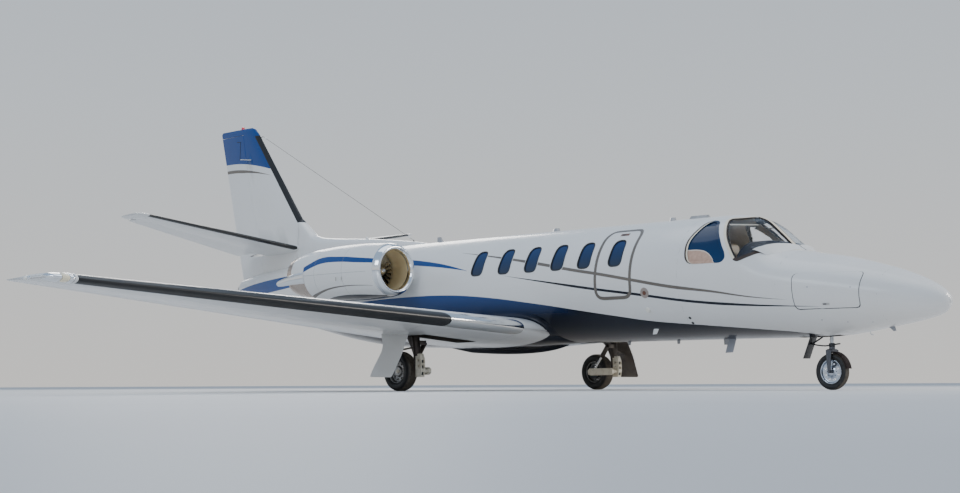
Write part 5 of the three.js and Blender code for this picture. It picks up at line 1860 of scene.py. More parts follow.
def bevelled(data, width, segments=2):
    piece = bpy.data.objects.new("bevel_body", data)
    bpy.context.scene.collection.objects.link(piece)
    edge = piece.modifiers.new("edge", "BEVEL")
    edge.width, edge.segments = width, segments
    edge.limit_method, edge.angle_limit = "ANGLE", math.radians(35)
    ready = evaluated(piece, data.name)
    bpy.data.objects.remove(piece)
    return shade(ready, 38)


def softened(node, materials, choose=None, width=0.003, cutters=None):
    """Stands for a node with broken corners; choose gives the finish of a face by its middle."""
    data = kept_mesh(node)
    if cutters:
        data = drilled(data, make_mesh("cutters", *joined(cutters)))
    data = bevelled(data, width)
    if choose:
        for face in data.polygons:
            face.material_index = choose(face.center)
    return add_object(node + "_soft", data, materials, body_of(node), slot_of(node), [node])


def rounded_column(rows, sides=24, power=0.45):
    """A closed loft of soft-cornered rectangles: middle x, middle y, height, half x, half y."""
    rings = []
    for x, y, z, half_x, half_y in rows:
        rings.append([(x + half_x * squared(math.cos(t), power), y + half_y * squared(math.sin(t), power), z)
                      for t in circle(sides)])
    return capped(rings)


BOX_FACES = [(0, 1, 3, 2), (4, 6, 7, 5), (0, 4, 5, 1), (2, 3, 7, 6), (0, 2, 6, 4), (1, 5, 7, 3)]


def block(low, high):
    """Points and faces of a box between two corners."""
    points = [(x, y, z) for x in (low[0], high[0]) for y in (low[1], high[1]) for z in (low[2], high[2])]
    return points, BOX_FACES


def enamel(name, colour, grime):
    """Enamel with oily dust that gathers in patches."""
    nodes = Nodes(name)
    patches = nodes.between(nodes.noise(9, 5.0), 0.45, 0.72, 0.0, 0.8)
    tone = nodes.mix(patches, colour, grime)
    nodes.bump(nodes.noise(140, 3.0), 0.12, 0.0006)
    return nodes.set(base_color=tone, roughness=nodes.between(patches, 0, 1, 0.3, 0.55))


cream_enamel = enamel("cream_enamel", (0.82, 0.76, 0.62, 1), (0.52, 0.45, 0.33, 1))
# Painted shade: the dark of the door's inner face, with patches in its tone.
door_inner_painted_shade = enamel("door_inner_painted_shade", (0.12, 0.10, 0.085, 1), (0.06, 0.05, 0.04, 1))
chrome = metal("chrome", (0.88, 0.89, 0.90, 1), 0.07, 0.01, (8, 8, 8))
fork_metal = metal("fork_metal", (0.13, 0.135, 0.15, 1), 0.40, 0.06, (8, 8, 8), (0.07, 0.07, 0.08, 1))
dark_forging = metal("dark_forging", (0.085, 0.072, 0.066, 1), 0.45, 0.08, (8, 8, 8), (0.16, 0.14, 0.12, 1))
print("corners can be broken; enamels mixed")

# %% [markdown]
# Main gear
#
# The strut is dark, and the casting at its foot is cream, with square pockets in its front that lighten it;
# their floors are dark as painted shade. Dark forging plates brace the strut from behind, and a short stack
# of brake discs sits between the wheel and the link. The door is painted white outside. Its inner face is
# dark as painted shade, and its cut edge shows as one light line.

# %% Dress the main gear
POCKETS = (0.403, 0.328, 0.238)         # heights of the pockets in the casting's front
POCKET_HALF = 0.021
POCKET_BACK = 6.893


def leg_finish(middle):
    """0 is the casting, 1 the dark strut, 2 the floor of a pocket, dark as painted shade, and what lies
    behind the casting.
    """
    if middle.z > 0.506:
        return 1
    station = NOSE_X - middle.x
    return 2 if station > 6.988 or abs(station - POCKET_BACK) < 0.001 else 0


def link_finish(middle):
    """0 is the arm, 1 the chromed rod that slides into the shock absorber."""
    return 1 if middle.z > 0.345 and NOSE_X - middle.x > 7.0 else 0


# height, stations of its front and back, half width
BRACE = ((0.80, 6.99, 7.20, 0.050), (0.70, 7.00, 7.15, 0.045), (0.60, 7.00, 7.09, 0.036),
         (0.50, 6.99, 7.045, 0.030), (0.36, 6.985, 7.030, 0.026), (0.22, 6.985, 7.015, 0.022))


def leg_brace(side):
    """A tapering brace behind the strut, from the wing down to the casting."""
    y = side * MAIN_WHEEL["side"]
    rows = [(at((start + end) / 2), y, height, (end - start) / 2, half) for height, start, end, half in BRACE]
    return rounded_column(rows, power=0.4)


def brake_stack(side):
    wheel = MAIN_WHEEL
    inner = side * (wheel["side"] - 0.052)
    section = []
    for k in range(4):
        place = -side * 0.0105 * k
        section += [(0.104, place), (0.104, place - side * 0.007), (0.094, place - side * 0.0075)]
    section = [(0.034, 0.0)] + section + [(0.034, -side * 0.043)]
    return turned_y(section, wheel["station"], inner, wheel["radius"], 48)


for name, side in SIDES:
    y = side * MAIN_WHEEL["side"]
    pockets = []
    for height in POCKETS:
        across = POCKET_HALF * 1.2
        pockets.append(block((at(POCKET_BACK), y - across, height - POCKET_HALF),
                             (at(6.80), y + across, height + POCKET_HALF)))
    softened("main_leg_" + name, [cream_enamel, dark_forging, dark_metal], leg_finish, cutters=pockets)
    softened("trailing_link_" + name, [cream_enamel, chrome], link_finish)
    build("leg_brace_" + name, dark_forging, [leg_brace(side)])
    build("brake_" + name, dark_metal, [brake_stack(side)])
    slant = Vector((0, side, 0.5)).normalized()
    hinge = Vector((0, side * 2.25, 0.765))

    def door_finish(middle):
        """0 is the painted outer face with the edges, 1 the inner face, dark as painted shade."""
        return 1 if (middle - hinge).dot(slant) < 0.001 else 0

    softened("main_gear_door_" + name, [white_paint, door_inner_painted_shade], door_finish, width=0.002)
print("main gear dressed; leg pockets:", len(POCKETS))

# %% [markdown]
# Nose gear
#
# The nose leg is built afresh: a bright tube with a collar, a short lug in front, and the two dark
# rods that tie the rear door to it, one of them bowed. The fork's arms taper to the axle, and a
# black guard curls over the front of the tyre so that it throws no water at the engines.

# %% Sweep tubes along smooth paths
def smooth_path(points, steps=8):
    """Points along a curve that runs evenly through the given ones."""
    spots = [2 * Vector(points[0]) - Vector(points[1])] + [Vector(p) for p in points]
    spots.append(2 * spots[-1] - spots[-2])
    path = []
    for a, b, c, d in zip(spots, spots[1:], spots[2:], spots[3:]):
        for t in np.linspace(0, 1, steps, endpoint=False):
            path.append(0.5 * (2 * b + (c - a) * t + (2 * a - 5 * b + 4 * c - d) * t * t
                               + (3 * b - a - 3 * c + d) * t**3))
    return path + [spots[-2]]


def tube(points, radius, sides=12, steps=8):
    """A closed tube along a smooth path."""
    path = smooth_path(points, steps) if steps > 1 else [Vector(p) for p in points]
    rows = []
    right = None
    for i, spot in enumerate(path):
        along = (path[min(i + 1, len(path) - 1)] - path[max(i - 1, 0)]).normalized()
        right = along.orthogonal() if right is None else right - along * right.dot(along)
        right = right.normalized()
        up = along.cross(right)
        rows.append([spot + right * (radius * math.cos(t)) + up * (radius * math.sin(t))
                     for t in circle(sides)])
    return capped(rows)


print("tubes can be swept")

# %% Build the nose leg, fork and guard
NOSE_LEG_X = at(NOSE_WHEEL["station"])
COLLAR = 0.525
FORK_GAP = NOSE_WHEEL["width"] / 2 + 0.015
AXLE = NOSE_WHEEL["radius"]              # height of the axle over the ground
# where the rods meet the door
APEX = (at(1.932 + (0.632 - 0.565) * 0.417) + 0.016, 0, 0.565)


def leg_column(rows, y=0, sides=24, power=0.45):
    """A column on the leg's line from rows of height, half length and half width."""
    return rounded_column([(NOSE_LEG_X, y, z, half_x, half_y) for z, half_x, half_y in rows], sides, power)


def leg_tube(places, radius, sides=12, steps=8, last=()):
    """A tube in the middle plane through places given as metres ahead of the leg and height."""
    places = [(NOSE_LEG_X + ahead, 0, height) for ahead, height in places]
    return tube(places + list(last), radius, sides, steps)


def cross_pin(reach, radius, sides, x=NOSE_LEG_X, height=AXLE):
    """A pin straight across between two distances from the middle plane."""
    return post((x, reach[0], height), (x, reach[1], height), radius, sides)


strut = [post((NOSE_LEG_X, 0, COLLAR + 0.0005), (NOSE_LEG_X, 0, 0.657), 0.0225, 32),
         post((NOSE_LEG_X, 0, 0.606), (NOSE_LEG_X, 0, 0.624), 0.0275, 32)]
build("nose_leg_tube", gear_metal, strut, slot="gear_metal", replaces=["nose_leg"])
build("nose_leg_links", dark_metal, [
    leg_column([(COLLAR + 0.0004, 0.035, 0.035), (0.530, 0.038, 0.038), (0.566, 0.038, 0.038),
                (0.572, 0.033, 0.033)], 0, 32, 1.0),
    leg_tube([(0.02, 0.553), (0.07, 0.559), (0.118, 0.563)], 0.009, 10),
    leg_tube([(-0.03, 0.545), (-0.11, 0.541), (-0.20, 0.550)], 0.0085, 12, last=[APEX]),
    tube([APEX, (NOSE_LEG_X - 0.19, 0, 0.620), (at(1.755), 0, 0.668)], 0.010, 12, 4),
    cross_pin((-0.045, 0.045), 0.011, 16, APEX[0], APEX[2]),
])
fork = [
    leg_column([(0.4625, 0.030, FORK_GAP + 0.012), (0.467, 0.040, FORK_GAP + 0.02),
                (0.492, 0.038, FORK_GAP + 0.02), (0.5, 0.030, FORK_GAP + 0.008)]),
    leg_column([(0.49, 0.038, 0.038), (COLLAR - 0.0005, 0.036, 0.036)], 0, 32, 1.0),
]
# height, how far back, half length and half width of each arm of the fork
FORK_ARM = ((0.490, 0, 0.040, 0.010), (0.42, 0.001, 0.038, 0.010), (0.345, 0.002, 0.031, 0.0095),
            (0.27, 0, 0.024, 0.009), (0.235, 0, 0.021, 0.0085), (0.204, 0, 0.012, 0.008))
for side in (1, -1):
    y = side * (FORK_GAP + 0.010)
    fork.append(rounded_column([(NOSE_LEG_X - back, y, z, long, wide) for z, back, long, wide in FORK_ARM]))
    fork.append(cross_pin((side * FORK_GAP, side * (FORK_GAP + 0.026)), 0.017, 6))
fork.append(cross_pin((-FORK_GAP - 0.001, FORK_GAP + 0.001), NOSE_WHEEL["axle"], 32))
build("nose_fork_forging", fork_metal, fork, "nose_steering", "gear_metal", ["nose_fork"])


# across and lift, over the outer face and back along the inner one
GUARD_SECTION = ((-0.060, -0.012), (-0.058, -0.003), (-0.048, 0.001), (0, 0.004), (0.048, 0.001),
                 (0.058, -0.003), (0.060, -0.012), (0.057, -0.012), (0.055, -0.005), (0, 0.001),
                 (-0.055, -0.005), (-0.057, -0.012))


def guard():
    """A crowned strip over the front of the tyre, with its edges turned in."""
    centre = Vector((NOSE_LEG_X, AXLE))
    spots = [Vector((NOSE_LEG_X - 0.01, 0.4605)), Vector((NOSE_LEG_X + 0.03, 0.4615))]
    for turn in np.radians(np.linspace(72, 8, 14)):
        reach = 0.243 + 0.008 * math.sin(turn)
        spots.append(centre + Vector((reach * math.cos(turn), reach * math.sin(turn))))
    rows = []
    for spot, before, after in zip(spots, [spots[0]] + spots, spots[1:] + [spots[-1]]):
        run = (after - before).normalized()
        out = Vector((-run.y, run.x))
        if out.dot(spot - centre) < 0:
            out = -out
        rows.append([(spot.x + out.x * lift, y, spot.y + out.y * lift) for y, lift in GUARD_SECTION])
    return capped(rows)


guard_rubber = rubber("guard_rubber", (0.014, 0.009, 0.009, 1), 0.75)
guard_rubber.node_tree.nodes["Principled BSDF"].inputs["Specular IOR Level"].default_value = 0.15
build("nose_guard", guard_rubber, [guard()], "nose_steering", sharp=50)
door_black = enamel("nose_door_black", (0.018, 0.020, 0.023, 1), (0.06, 0.055, 0.05, 1))
softened("nose_gear_door", [door_black], width=0.004)
hinge_strip = block((at(1.975), -0.066, 0.650), (at(1.895), 0.066, 0.6585))
hinge_strip = bevelled(make_mesh("nose_door_hinge_strip", *hinge_strip), 0.002)
add_object("nose_door_hinge_strip", hinge_strip, [white_paint], "airframe")
print("nose gear built")

# %% [markdown]
# Seats
#
# A seat in such a cabin is foam under leather on a light frame. The cushions are made the way a real
# one gets its shape: a plain block of foam is blown up a little from inside by cloth simulation, so
# that its faces crown and its sides pull in between the corners. Shallow channels and the piping are
# sewn on afterwards. One set of cushions is simulated, and every seat gets its own copy.

# %% Leather and other cabin finishes
def leather(name, colour, worn):
    nodes = Nodes(name)
    cells = nodes.tree.nodes.new("ShaderNodeTexVoronoi")
    nodes.feed(cells.inputs["Vector"], nodes.where())
    cells.inputs["Scale"].default_value = 420
    creases = nodes.math("ADD", cells.outputs["Distance"], nodes.noise(70, 5.0))
    nodes.bump(creases, 0.22, 0.0007)
    tone = nodes.mix(nodes.between(nodes.noise(6, 4.0), 0.38, 0.7), colour, worn)
    rough = nodes.between(nodes.noise(15, 3.0), 0.3, 0.7, 0.38, 0.55)
    return nodes.set(base_color=tone, roughness=rough)


def moulded(name, colour, rough=0.5):
    """Textured plastic with a faint change of tone."""
    nodes = Nodes(name)
    nodes.bump(nodes.noise(520, 2.0), 0.25, 0.0005)
    tone = nodes.mix(nodes.noise(4, 3.0), colour, tuple(c * 1.25 for c in colour[:3]) + (1,))
    return nodes.set(base_color=tone, roughness=rough)


def carpet():
    nodes = Nodes("cabin_carpet")
    tufts = nodes.noise(260, 3.0)
    nodes.bump(tufts, 0.8, 0.004)
    tone = nodes.mix(tufts, (0.10, 0.085, 0.07, 1), (0.22, 0.19, 0.155, 1))
    return nodes.set(base_color=tone, roughness=0.95, specular_ior_level=0.1)


tan_leather = leather("tan_leather", (0.66, 0.55, 0.42, 1), (0.55, 0.45, 0.34, 1))
piping_leather = leather("piping_leather", (0.30, 0.22, 0.15, 1), (0.24, 0.18, 0.12, 1))
seat_plastic = moulded("seat_plastic", (0.36, 0.31, 0.25, 1))
dark_plastic = moulded("dark_plastic", (0.022, 0.023, 0.026, 1))
print("cabin finishes mixed")

# %% Blow a foam block up into a cushion
def soft_block(rows, across, corner=0.35, count=28):
    """A closed block lofted along its length: a row is a middle (u, w), half depth, tilt and width."""
    rings = []
    for u, w, half, tilt, wide in rows:
        ring = []
        for t in circle(count):
            v, d = across * wide * squared(math.cos(t), corner), half * squared(math.sin(t), corner)
            ring.append((u - d * math.sin(tilt), v, w + d * math.cos(tilt)))
        rings.append(ring)
    return capped(rings)


def blown_up(name, points, faces, voxel, cap, pressure=4.0):
    """Remesh, inflate with Cloth, cap how far each point moved, and subdivide once."""
    piece = bpy.data.objects.new(name, make_mesh(name, points, faces))
    bpy.context.scene.collection.objects.link(piece)
    remesh = piece.modifiers.new("remesh", "REMESH")
    remesh.mode, remesh.voxel_size = "VOXEL", voxel
    piece.data = evaluated(piece, name)
    piece.modifiers.clear()
    rest = np.array([v.co for v in piece.data.vertices])
    cloth = piece.modifiers.new("cloth", "CLOTH")
    cloth.settings.use_pressure = True
    cloth.settings.uniform_pressure_force = pressure
    cloth.settings.effector_weights.gravity = 0
    cloth.settings.quality = 4
    for number in range(1, 21):
        bpy.context.scene.frame_set(number)
    swollen = np.array([v.co for v in evaluated(piece, "swollen").vertices])
    piece.modifiers.clear()
    bpy.context.scene.frame_set(1)
    move = swollen - rest
    length = np.maximum(np.linalg.norm(move, axis=1, keepdims=True), 1e-9)
    rest = rest + move * np.minimum(1, cap / length)
    for vertex, spot in zip(piece.data.vertices, rest):
        vertex.co = spot
    fine = piece.modifiers.new("fine", "SUBSURF")
    fine.levels = 1
    data = evaluated(piece, name)
    bpy.data.objects.remove(piece)
    return np.array([v.co for v in data.vertices]), [tuple(face.vertices) for face in data.polygons]


def channelled(points, places, out, depth=0.006, width=0.009):
    """Presses sewn channels across v into the side of a cushion that faces out."""
    middle = points.mean(axis=0)
    side = (points - middle) @ out
    near = np.min(np.abs(points[:, 1:2] - np.array(places)[None]), axis=1)
    dip = depth * np.exp(-(near / width) ** 2) * np.clip(side / (0.6 * side.max()), 0, 1)
    return points - dip[:, None] * out


def piping(points, first, second, out, lift=0.75, radius=0.0035, count=72):
    """A tube along the corner where a cushion's face turns into its sides."""
    ring = []
    for t in circle(count):
        way = first * math.cos(t) + second * math.sin(t) + out * lift
        ring.append(points[np.argmax(points @ way)])
    ring = resampled(np.array(ring), 0.012, 3)
    along = np.roll(ring, -1, axis=0) - np.roll(ring, 1, axis=0)
    along /= np.linalg.norm(along, axis=1, keepdims=True)
    side = np.cross(along, out)
    side /= np.linalg.norm(side, axis=1, keepdims=True)
    up = np.cross(side, along)
    rows = [[spot + radius * (math.cos(a) * s + math.sin(a) * u) for a in circle(8)]
            for spot, s, u in zip(ring, side, up)]
    return ring_mesh(rows)


print("cushions are simulated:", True)

# %% Make the cushions of one seat
# Local axes of a seat: u towards its front, v across, w up from the floor
VOXEL = 0.014
SEAT_CAP, BACK_CAP, HEAD_CAP = 0.022, 0.022, 0.012
BACK_LEAN = math.atan2(0.10, 0.58)
BACK_FOOT = 0.40                # height of the back's lowest line over the floor
BACK_OUT = np.array((math.cos(BACK_LEAN), 0, math.sin(BACK_LEAN)))
UP_BACK = np.array((-math.sin(BACK_LEAN), 0, math.cos(BACK_LEAN)))
ACROSS = np.array((0, 1.0, 0))


def back_line(height):
    """How far behind the seat's middle the leaning back is at a height."""
    return -0.212 - (height - BACK_FOOT) * math.tan(BACK_LEAN)


def back_row(height, half, wide):
    """A ring of the back cushion at a height along the leaning back."""
    return (back_line(height), height, half, math.pi / 2 - BACK_LEAN, wide)


seat_rows = [(-0.155, 0.338, 0.040, 0, 0.92), (-0.14, 0.338, 0.052, 0, 1), (0.08, 0.340, 0.055, 0, 1),
             (0.20, 0.338, 0.052, 0, 1), (0.235, 0.334, 0.036, 0, 0.9)]
back_rows = [back_row(0.41, 0.030, 0.9), back_row(0.43, 0.042, 1), back_row(0.60, 0.046, 1.0),
             back_row(0.76, 0.040, 0.94), back_row(0.785, 0.028, 0.82)]
head_rows = [back_row(0.815, 0.026, 0.46), back_row(0.835, 0.038, 0.56), back_row(0.915, 0.040, 0.58),
             back_row(0.945, 0.026, 0.48)]
FORWARD = np.array((1.0, 0, 0))
UPWARD = np.array((0, 0, 1.0))
points, cushion_faces = blown_up("cushion", *soft_block(seat_rows, 0.152), VOXEL, SEAT_CAP)
cushion_points = channelled(points, (-0.05, 0.05), UPWARD)
points, back_faces = blown_up("back", *soft_block(back_rows, 0.158), VOXEL, BACK_CAP)
back_points = channelled(points, (-0.052, 0.052), BACK_OUT)
head_points, head_faces = blown_up("head", *soft_block(head_rows, 0.158), VOXEL * 0.8, HEAD_CAP)
CUSHIONS = (
    # label, points, faces, the two directions of its face, way out of the face, fill
    ("seat", cushion_points, cushion_faces, FORWARD, ACROSS, UPWARD, 0.85),
    ("back", back_points, back_faces, UP_BACK, ACROSS, BACK_OUT, 0.8),
    ("headrest", head_points, head_faces, UP_BACK, ACROSS, BACK_OUT, 0.8),
)
print("points of a cushion, a back and a headrest:", [len(row[1]) for row in CUSHIONS])

# %% [markdown]
# The seat's frame holds the cushions: a pedestal that narrows to the floor track, a moulded shell
# behind the back, two posts for the headrest, and armrests with a padded top. Frames and cushions
# are placed by the same function, which turns a seat to face forward or aft.

# %% Place the seats
FLOOR_TOP = 0.960
SEATS = (
    # label, station, facing (1 is forward)
    ("crew_seat", 3.05, 1), ("cabin_seat_front", 5.15, -1), ("cabin_seat_rear", 6.45, 1),
)
SEAT_OUT = 0.285
# middle u and v, height, half length and half width
PEDESTAL = ((0.02, 0, 0.004, 0.20, 0.15), (0.02, 0, 0.02, 0.20, 0.15), (0.03, 0, 0.06, 0.14, 0.10),
            (0.03, 0, 0.20, 0.13, 0.10), (0.03, 0, 0.262, 0.21, 0.17), (0.03, 0, 0.276, 0.21, 0.17))
SHELL_HALF = 0.192


def back_shell():
    """The moulded shell behind the back cushion."""
    rows = []
    for height in np.linspace(0.33, 0.955, 14):
        wide = SHELL_HALF if height < 0.7 else SHELL_HALF - 0.10 * ((height - 0.7) / 0.26) ** 1.5
        u = back_line(height)
        behind = [(u - 0.088 + 0.030 * v**4, v * wide, height) for v in np.linspace(-1, 1, 15)]
        ahead = [(u - 0.070 + 0.030 * v**4, v * wide * 0.97, height) for v in np.linspace(1, -1, 15)]
        rows.append(behind + ahead)
    return capped(rows)


def seat_frame():
    parts = [rounded_column(PEDESTAL, 32, 0.5), back_shell()]
    for v in (-0.045, 0.045):
        parts.append(post((back_line(0.76), v, 0.76), (back_line(0.86), v, 0.86), 0.006, 12))
    return parts


def seat_arms():
    parts = []
    for v in (-0.188, 0.188):
        pad = [(-0.20, v, 0.47), (-0.05, v, 0.525), (0.13, v, 0.525), (0.17, v, 0.50)]
        stay = [(-0.20, v, 0.46), (-0.20, v, 0.34), (-0.17, v, 0.28)]
        parts += [tube(pad, 0.017, 14, 6), tube(stay, 0.012, 12, 6)]
    return parts


def set_down(parts, station, side, facing):
    """Joins parts in a seat's own axes and turns them into the aircraft's."""
    points, faces = joined(parts)
    return np.stack([at(station) + facing * points[:, 0], side * SEAT_OUT + facing * points[:, 1],
                     FLOOR_TOP + 0.001 + points[:, 2]], axis=1), faces


for label, station, facing in SEATS:
    for name, side in SIDES:
        node, place = f"{label}_{name}", (station, side, facing)
        frame_mesh = set_down(seat_frame(), *place)
        build(node + "_frame", seat_plastic, [frame_mesh], slot="panel_plastic", replaces=[node])
        build(node + "_arms", tan_leather, [set_down(seat_arms(), *place)], slot="seat_leather")
        for part, points, faces, first, second, out, fill in CUSHIONS:
            title = f"{node}_{part}"
            cushion = set_down([(points, faces)], *place)
            pad = build(title, tan_leather, [cushion], slot="seat_leather", sharp=60)
            seam = set_down([piping(points, first, second, out)], *place)
            build(title + "_piping", piping_leather, [seam])
for slot in frame["nodes"]["cabin_floor"].material_slots:
    slot.material = carpet()
print("seats placed:", len(SEATS) * 2)

# %% [markdown]
# Flight deck
#
# What shows through the windshield is the glareshield, a dark padded hood over the instruments. It is
# lofted just below the glass. The panel's own solid is copied with soft corners in the same grained
# finish, and the displays, the dials, two yokes and the levers are added on the crew's side.

# %% Panel, displays, yokes and levers
def display_glass():
    nodes = Nodes("display_glass")
    height = nodes.axes()[2]
    # Bluer towards the top: a painted reflection.
    tone = nodes.mix(nodes.between(height, 1.28, 1.50), (0.010, 0.012, 0.014, 1), (0.014, 0.022, 0.034, 1))
    return nodes.set(base_color=tone, roughness=0.08, coat_weight=0.5, coat_roughness=0.05)


def panel_point(y, height):
    """A point on the panel's aft face, which slants a little."""
    station = 2.42 + (height - FLOOR_TOP) / 0.64 * 0.02
    return (at(station), y, height)


def panel_plate(y, height, half_y, half_z, thick):
    low, high = panel_point(y, height - half_z), panel_point(y, height + half_z)
    points = [(edge[0] - lift, y + side * half_y, edge[2])
              for lift in (0, thick) for edge in (low, high) for side in (-1, 1)]
    return points, BOX_FACES


HOOD_STATIONS = (2.21, 2.24, 2.30, 2.36, 2.42, 2.48, 2.55, 2.565)
HOOD_HALF, HOOD_ROOM, HOOD_POINTS = 0.71, 0.045, 33


def hood():
    """The padded hood over the panel, clear of the glass and the cabin wall everywhere."""
    rows = []
    for station in HOOD_STATIONS:
        last = station == HOOD_STATIONS[-1]
        reach = min(HOOD_HALF, float(side_of_body(station, np.array(1.60))) - HOOD_ROOM)
        outs = np.linspace(-1, 1, HOOD_POINTS) * reach
        wanted = 1.868 - 0.25 * (np.abs(outs) / HOOD_HALF) ** 4.5 - 0.35 * max(0, 2.34 - station)
        free = skin_above(np.full(HOOD_POINTS, station), outs)[:, 2] - HOOD_ROOM
        height = np.minimum(wanted, free) - (0.012 if last else 0)
        upper = np.stack([np.full(HOOD_POINTS, at(station)), outs, height], axis=1)
        lower = upper - (0, 0, 0.060 if last else 0.090)
        rows.append(np.vstack([upper, lower[::-1]]))
    return capped(rows)


hood_finish = moulded("glareshield_hood", (0.012, 0.016, 0.028, 1), 0.62)
softened("instrument_panel", [hood_finish], width=0.012)
build("glareshield", hood_finish, [hood()], sharp=50)
VISOR_RAIL = ((2.58, 0.20, 2.075), (2.73, 0.30, 2.083), (2.885, 0.40, 2.085))
rails = [tube([(at(s), m * out, z) for s, out, z in VISOR_RAIL], 0.010, 14, 6) for m in (-1, 1)]
build("sun_visor_rails", cream_trim, rails)
plates = [panel_plate(y, 1.40, half, 0.095, 0.010) for y, half in ((-0.40, 0.125), (0.40, 0.125), (0, 0.13))]
bezels = bevelled(make_mesh("display_bezels", *joined(plates)), 0.003)
add_object("display_bezels", bezels, [dark_plastic], "airframe")
glasses = [panel_plate(y, 1.405, 0.105, 0.075, 0.0125) for y in (-0.40, 0, 0.40)]
build("display_glasses", display_glass(), glasses)


def knob(y, height, start, end, radius, sides, radius_to=None):
    """A round part that stands out of the panel between two depths."""
    x = panel_point(y, height)[0]
    return post((x - start, y, height), (x - end, y, height), radius, sides, radius_to)


knobs = []
for y in (-0.215, 0.215):
    for height in (1.32, 1.40, 1.48):
        knobs.append(knob(y, height, 0, 0.010, 0.030, 32))
        knobs.append(knob(y, height, 0.010, 0.014, 0.032, 32, 0.029))
for k in range(14):
    knobs.append(knob(-0.39 + k * 0.06, 1.245, 0, 0.018, 0.010, 16, 0.008))
build("dials_and_knobs", dark_metal, knobs)
YOKE_HEIGHT, YOKE_STATION = 1.24, 2.66
# metres aft of the yoke's middle, across and up, from the tip of one horn to the other
HORNS = ((0, -0.135, 0.085), (0.012, -0.14, 0.02), (0.006, -0.07, -0.012), (0.004, 0, -0.004),
         (0.006, 0.07, -0.012), (0.012, 0.14, 0.02), (0, 0.135, 0.085))
controls = []
for y in (-SEAT_OUT, SEAT_OUT):
    x = at(YOKE_STATION)
    controls.append(post(panel_point(y, YOKE_HEIGHT), (x, y, YOKE_HEIGHT), 0.014, 20))
    horns = [(x - aft, y + across, YOKE_HEIGHT + up) for aft, across, up in HORNS]
    controls.append(tube(horns, 0.015, 14, 6))
console = [(at(2.62), 0, FLOOR_TOP + 0.002, 0.19, 0.095), (at(2.62), 0, 1.16, 0.18, 0.09),
           (at(2.60), 0, 1.20, 0.15, 0.08)]
controls.append(rounded_column(console, 32, 0.3))
for y in (-0.035, 0.035):
    controls.append(tube([(at(2.62), y, 1.19), (at(2.60), y, 1.27), (at(2.61), y, 1.30)], 0.009, 12, 5))
    controls.append(post((at(2.61), y - 0.022, 1.305), (at(2.61), y + 0.022, 1.305), 0.013, 16))
build("cockpit_controls", dark_plastic, controls, sharp=40)
print("flight deck: 3 displays, 6 dials, 2 yokes")

# %% [markdown]
# Small parts on the skin
#
# Ports, drains, latches and lenses are tiny, yet an aircraft looks like a toy without them. Each one
# is set by a place on the fuselage form: the form gives the nearest point of the skin and the way
# straight out of it, so a stud, a blade or a plate always stands square on the surface.

# %% Studs, plates and blades that stand on the fuselage
def on_skin(station, y, height):
    """The nearest place on the fuselage form, and the way out of it."""
    angle = polar(np.array([(at(station), y, height)]))[0]
    spot = skin_point(np.array([station]), angle)
    return spot[0], outward(spot, body_level)[0]


def stud(place, radius, tall, mirror=1):
    spot, up = on_skin(place[0], place[1] * mirror, place[2])
    return post(spot - up * 0.004, spot + up * tall, radius, 24, radius * 0.93)


def blade(front, back, tip_front, tip_back, y, thick):
    """A swept aerial: a lens-shaped root that thins out to its tip, places as (station, height)."""
    rows = []
    for share in np.linspace(0, 1, 7):
        ahead = np.array(front) + (np.array(tip_front) - front) * share
        behind = np.array(back) + (np.array(tip_back) - back) * share
        ring = []
        for t in circle(16):
            spot = ahead + (behind - ahead) * (0.5 - 0.5 * math.cos(t))
            ring.append((at(spot[0]), y + 0.5 * thick * (1 - 0.45 * share) * math.sin(t), spot[1]))
        rows.append(ring)
    return capped(rows)


aerial_grey = moulded("aerial_grey", (0.27, 0.28, 0.31, 1), 0.45)
brown_port = moulded("port_brown", (0.13, 0.055, 0.035, 1), 0.5)
clear_lens = lens("clear_lens", (0.85, 0.83, 0.76, 1), 0.05)
BOTH = (-1, 1)
# station, distance out and height of places on the skin
FLUSH_SPOTS = ((1.519, 0.688, 1.231), (0.873, 0.287, 0.803), (1.153, 0.389, 0.809), (1.453, 0.487, 0.839),
               (0.997, 0.565, 1.213))
STATIC_PORTS = ((3.383, 0.595, 0.921), (3.385, 0.533, 0.858))
SIDE_PORT, EXIT_LAMP = (3.985, -0.776, 1.259), (4.00, -0.685, 1.042)
build("drain_spots", aerial_grey, [stud(place, 0.008, 0.0015, m) for place in FLUSH_SPOTS for m in BOTH])
build("static_ports", black_rubber, [stud(place, 0.022, 0.0012, m) for place in STATIC_PORTS for m in BOTH])
build("side_port_ring", moulded("port_taupe", (0.30, 0.25, 0.22, 1), 0.45), [stud(SIDE_PORT, 0.072, 0.003)])
build("side_port", brown_port, [stud(SIDE_PORT, 0.030, 0.006)])
build("entry_lamp", clear_lens, [stud(EXIT_LAMP, 0.038, 0.012), stud(EXIT_LAMP, 0.024, 0.022)])
build("belly_aerials", aerial_grey, [
    blade((3.10, 0.665), (3.225, 0.665), (3.16, 0.485), (3.284, 0.479), 0, 0.020),
    blade((0.76, 0.775), (0.86, 0.765), (0.735, 0.700), (0.775, 0.697), 0, 0.016),
])
build("side_blade", white_paint, [
    blade((4.00, 0.83), (4.10, 0.81), (4.05, 0.735), (4.12, 0.73), -0.455, 0.014),
])
probe = tube([(at(1.10), 0, 0.712), (at(1.09), 0, 0.672), (at(1.05), 0, 0.660)], 0.007, 12, 6)
build("temperature_probe", chrome, [probe])
print("studs placed:", len(FLUSH_SPOTS) * 2, "drains and", len(STATIC_PORTS) * 2, "static ports")

# %% [markdown]
# Handles, latches and filler caps
#
# A flush handle is a plate that lies in the skin with a dark grip recess. A thin sheet laid on the
# form under a millimetre proud stands for each, the recess being a second, darker sheet on the first.
# They ride on the door they open, so they swing with it.

# %% Flush plates
def plate(station, half, low, high, side, lift):
    return body_patch(station, half, low, high, side, -lift, (6, 6))


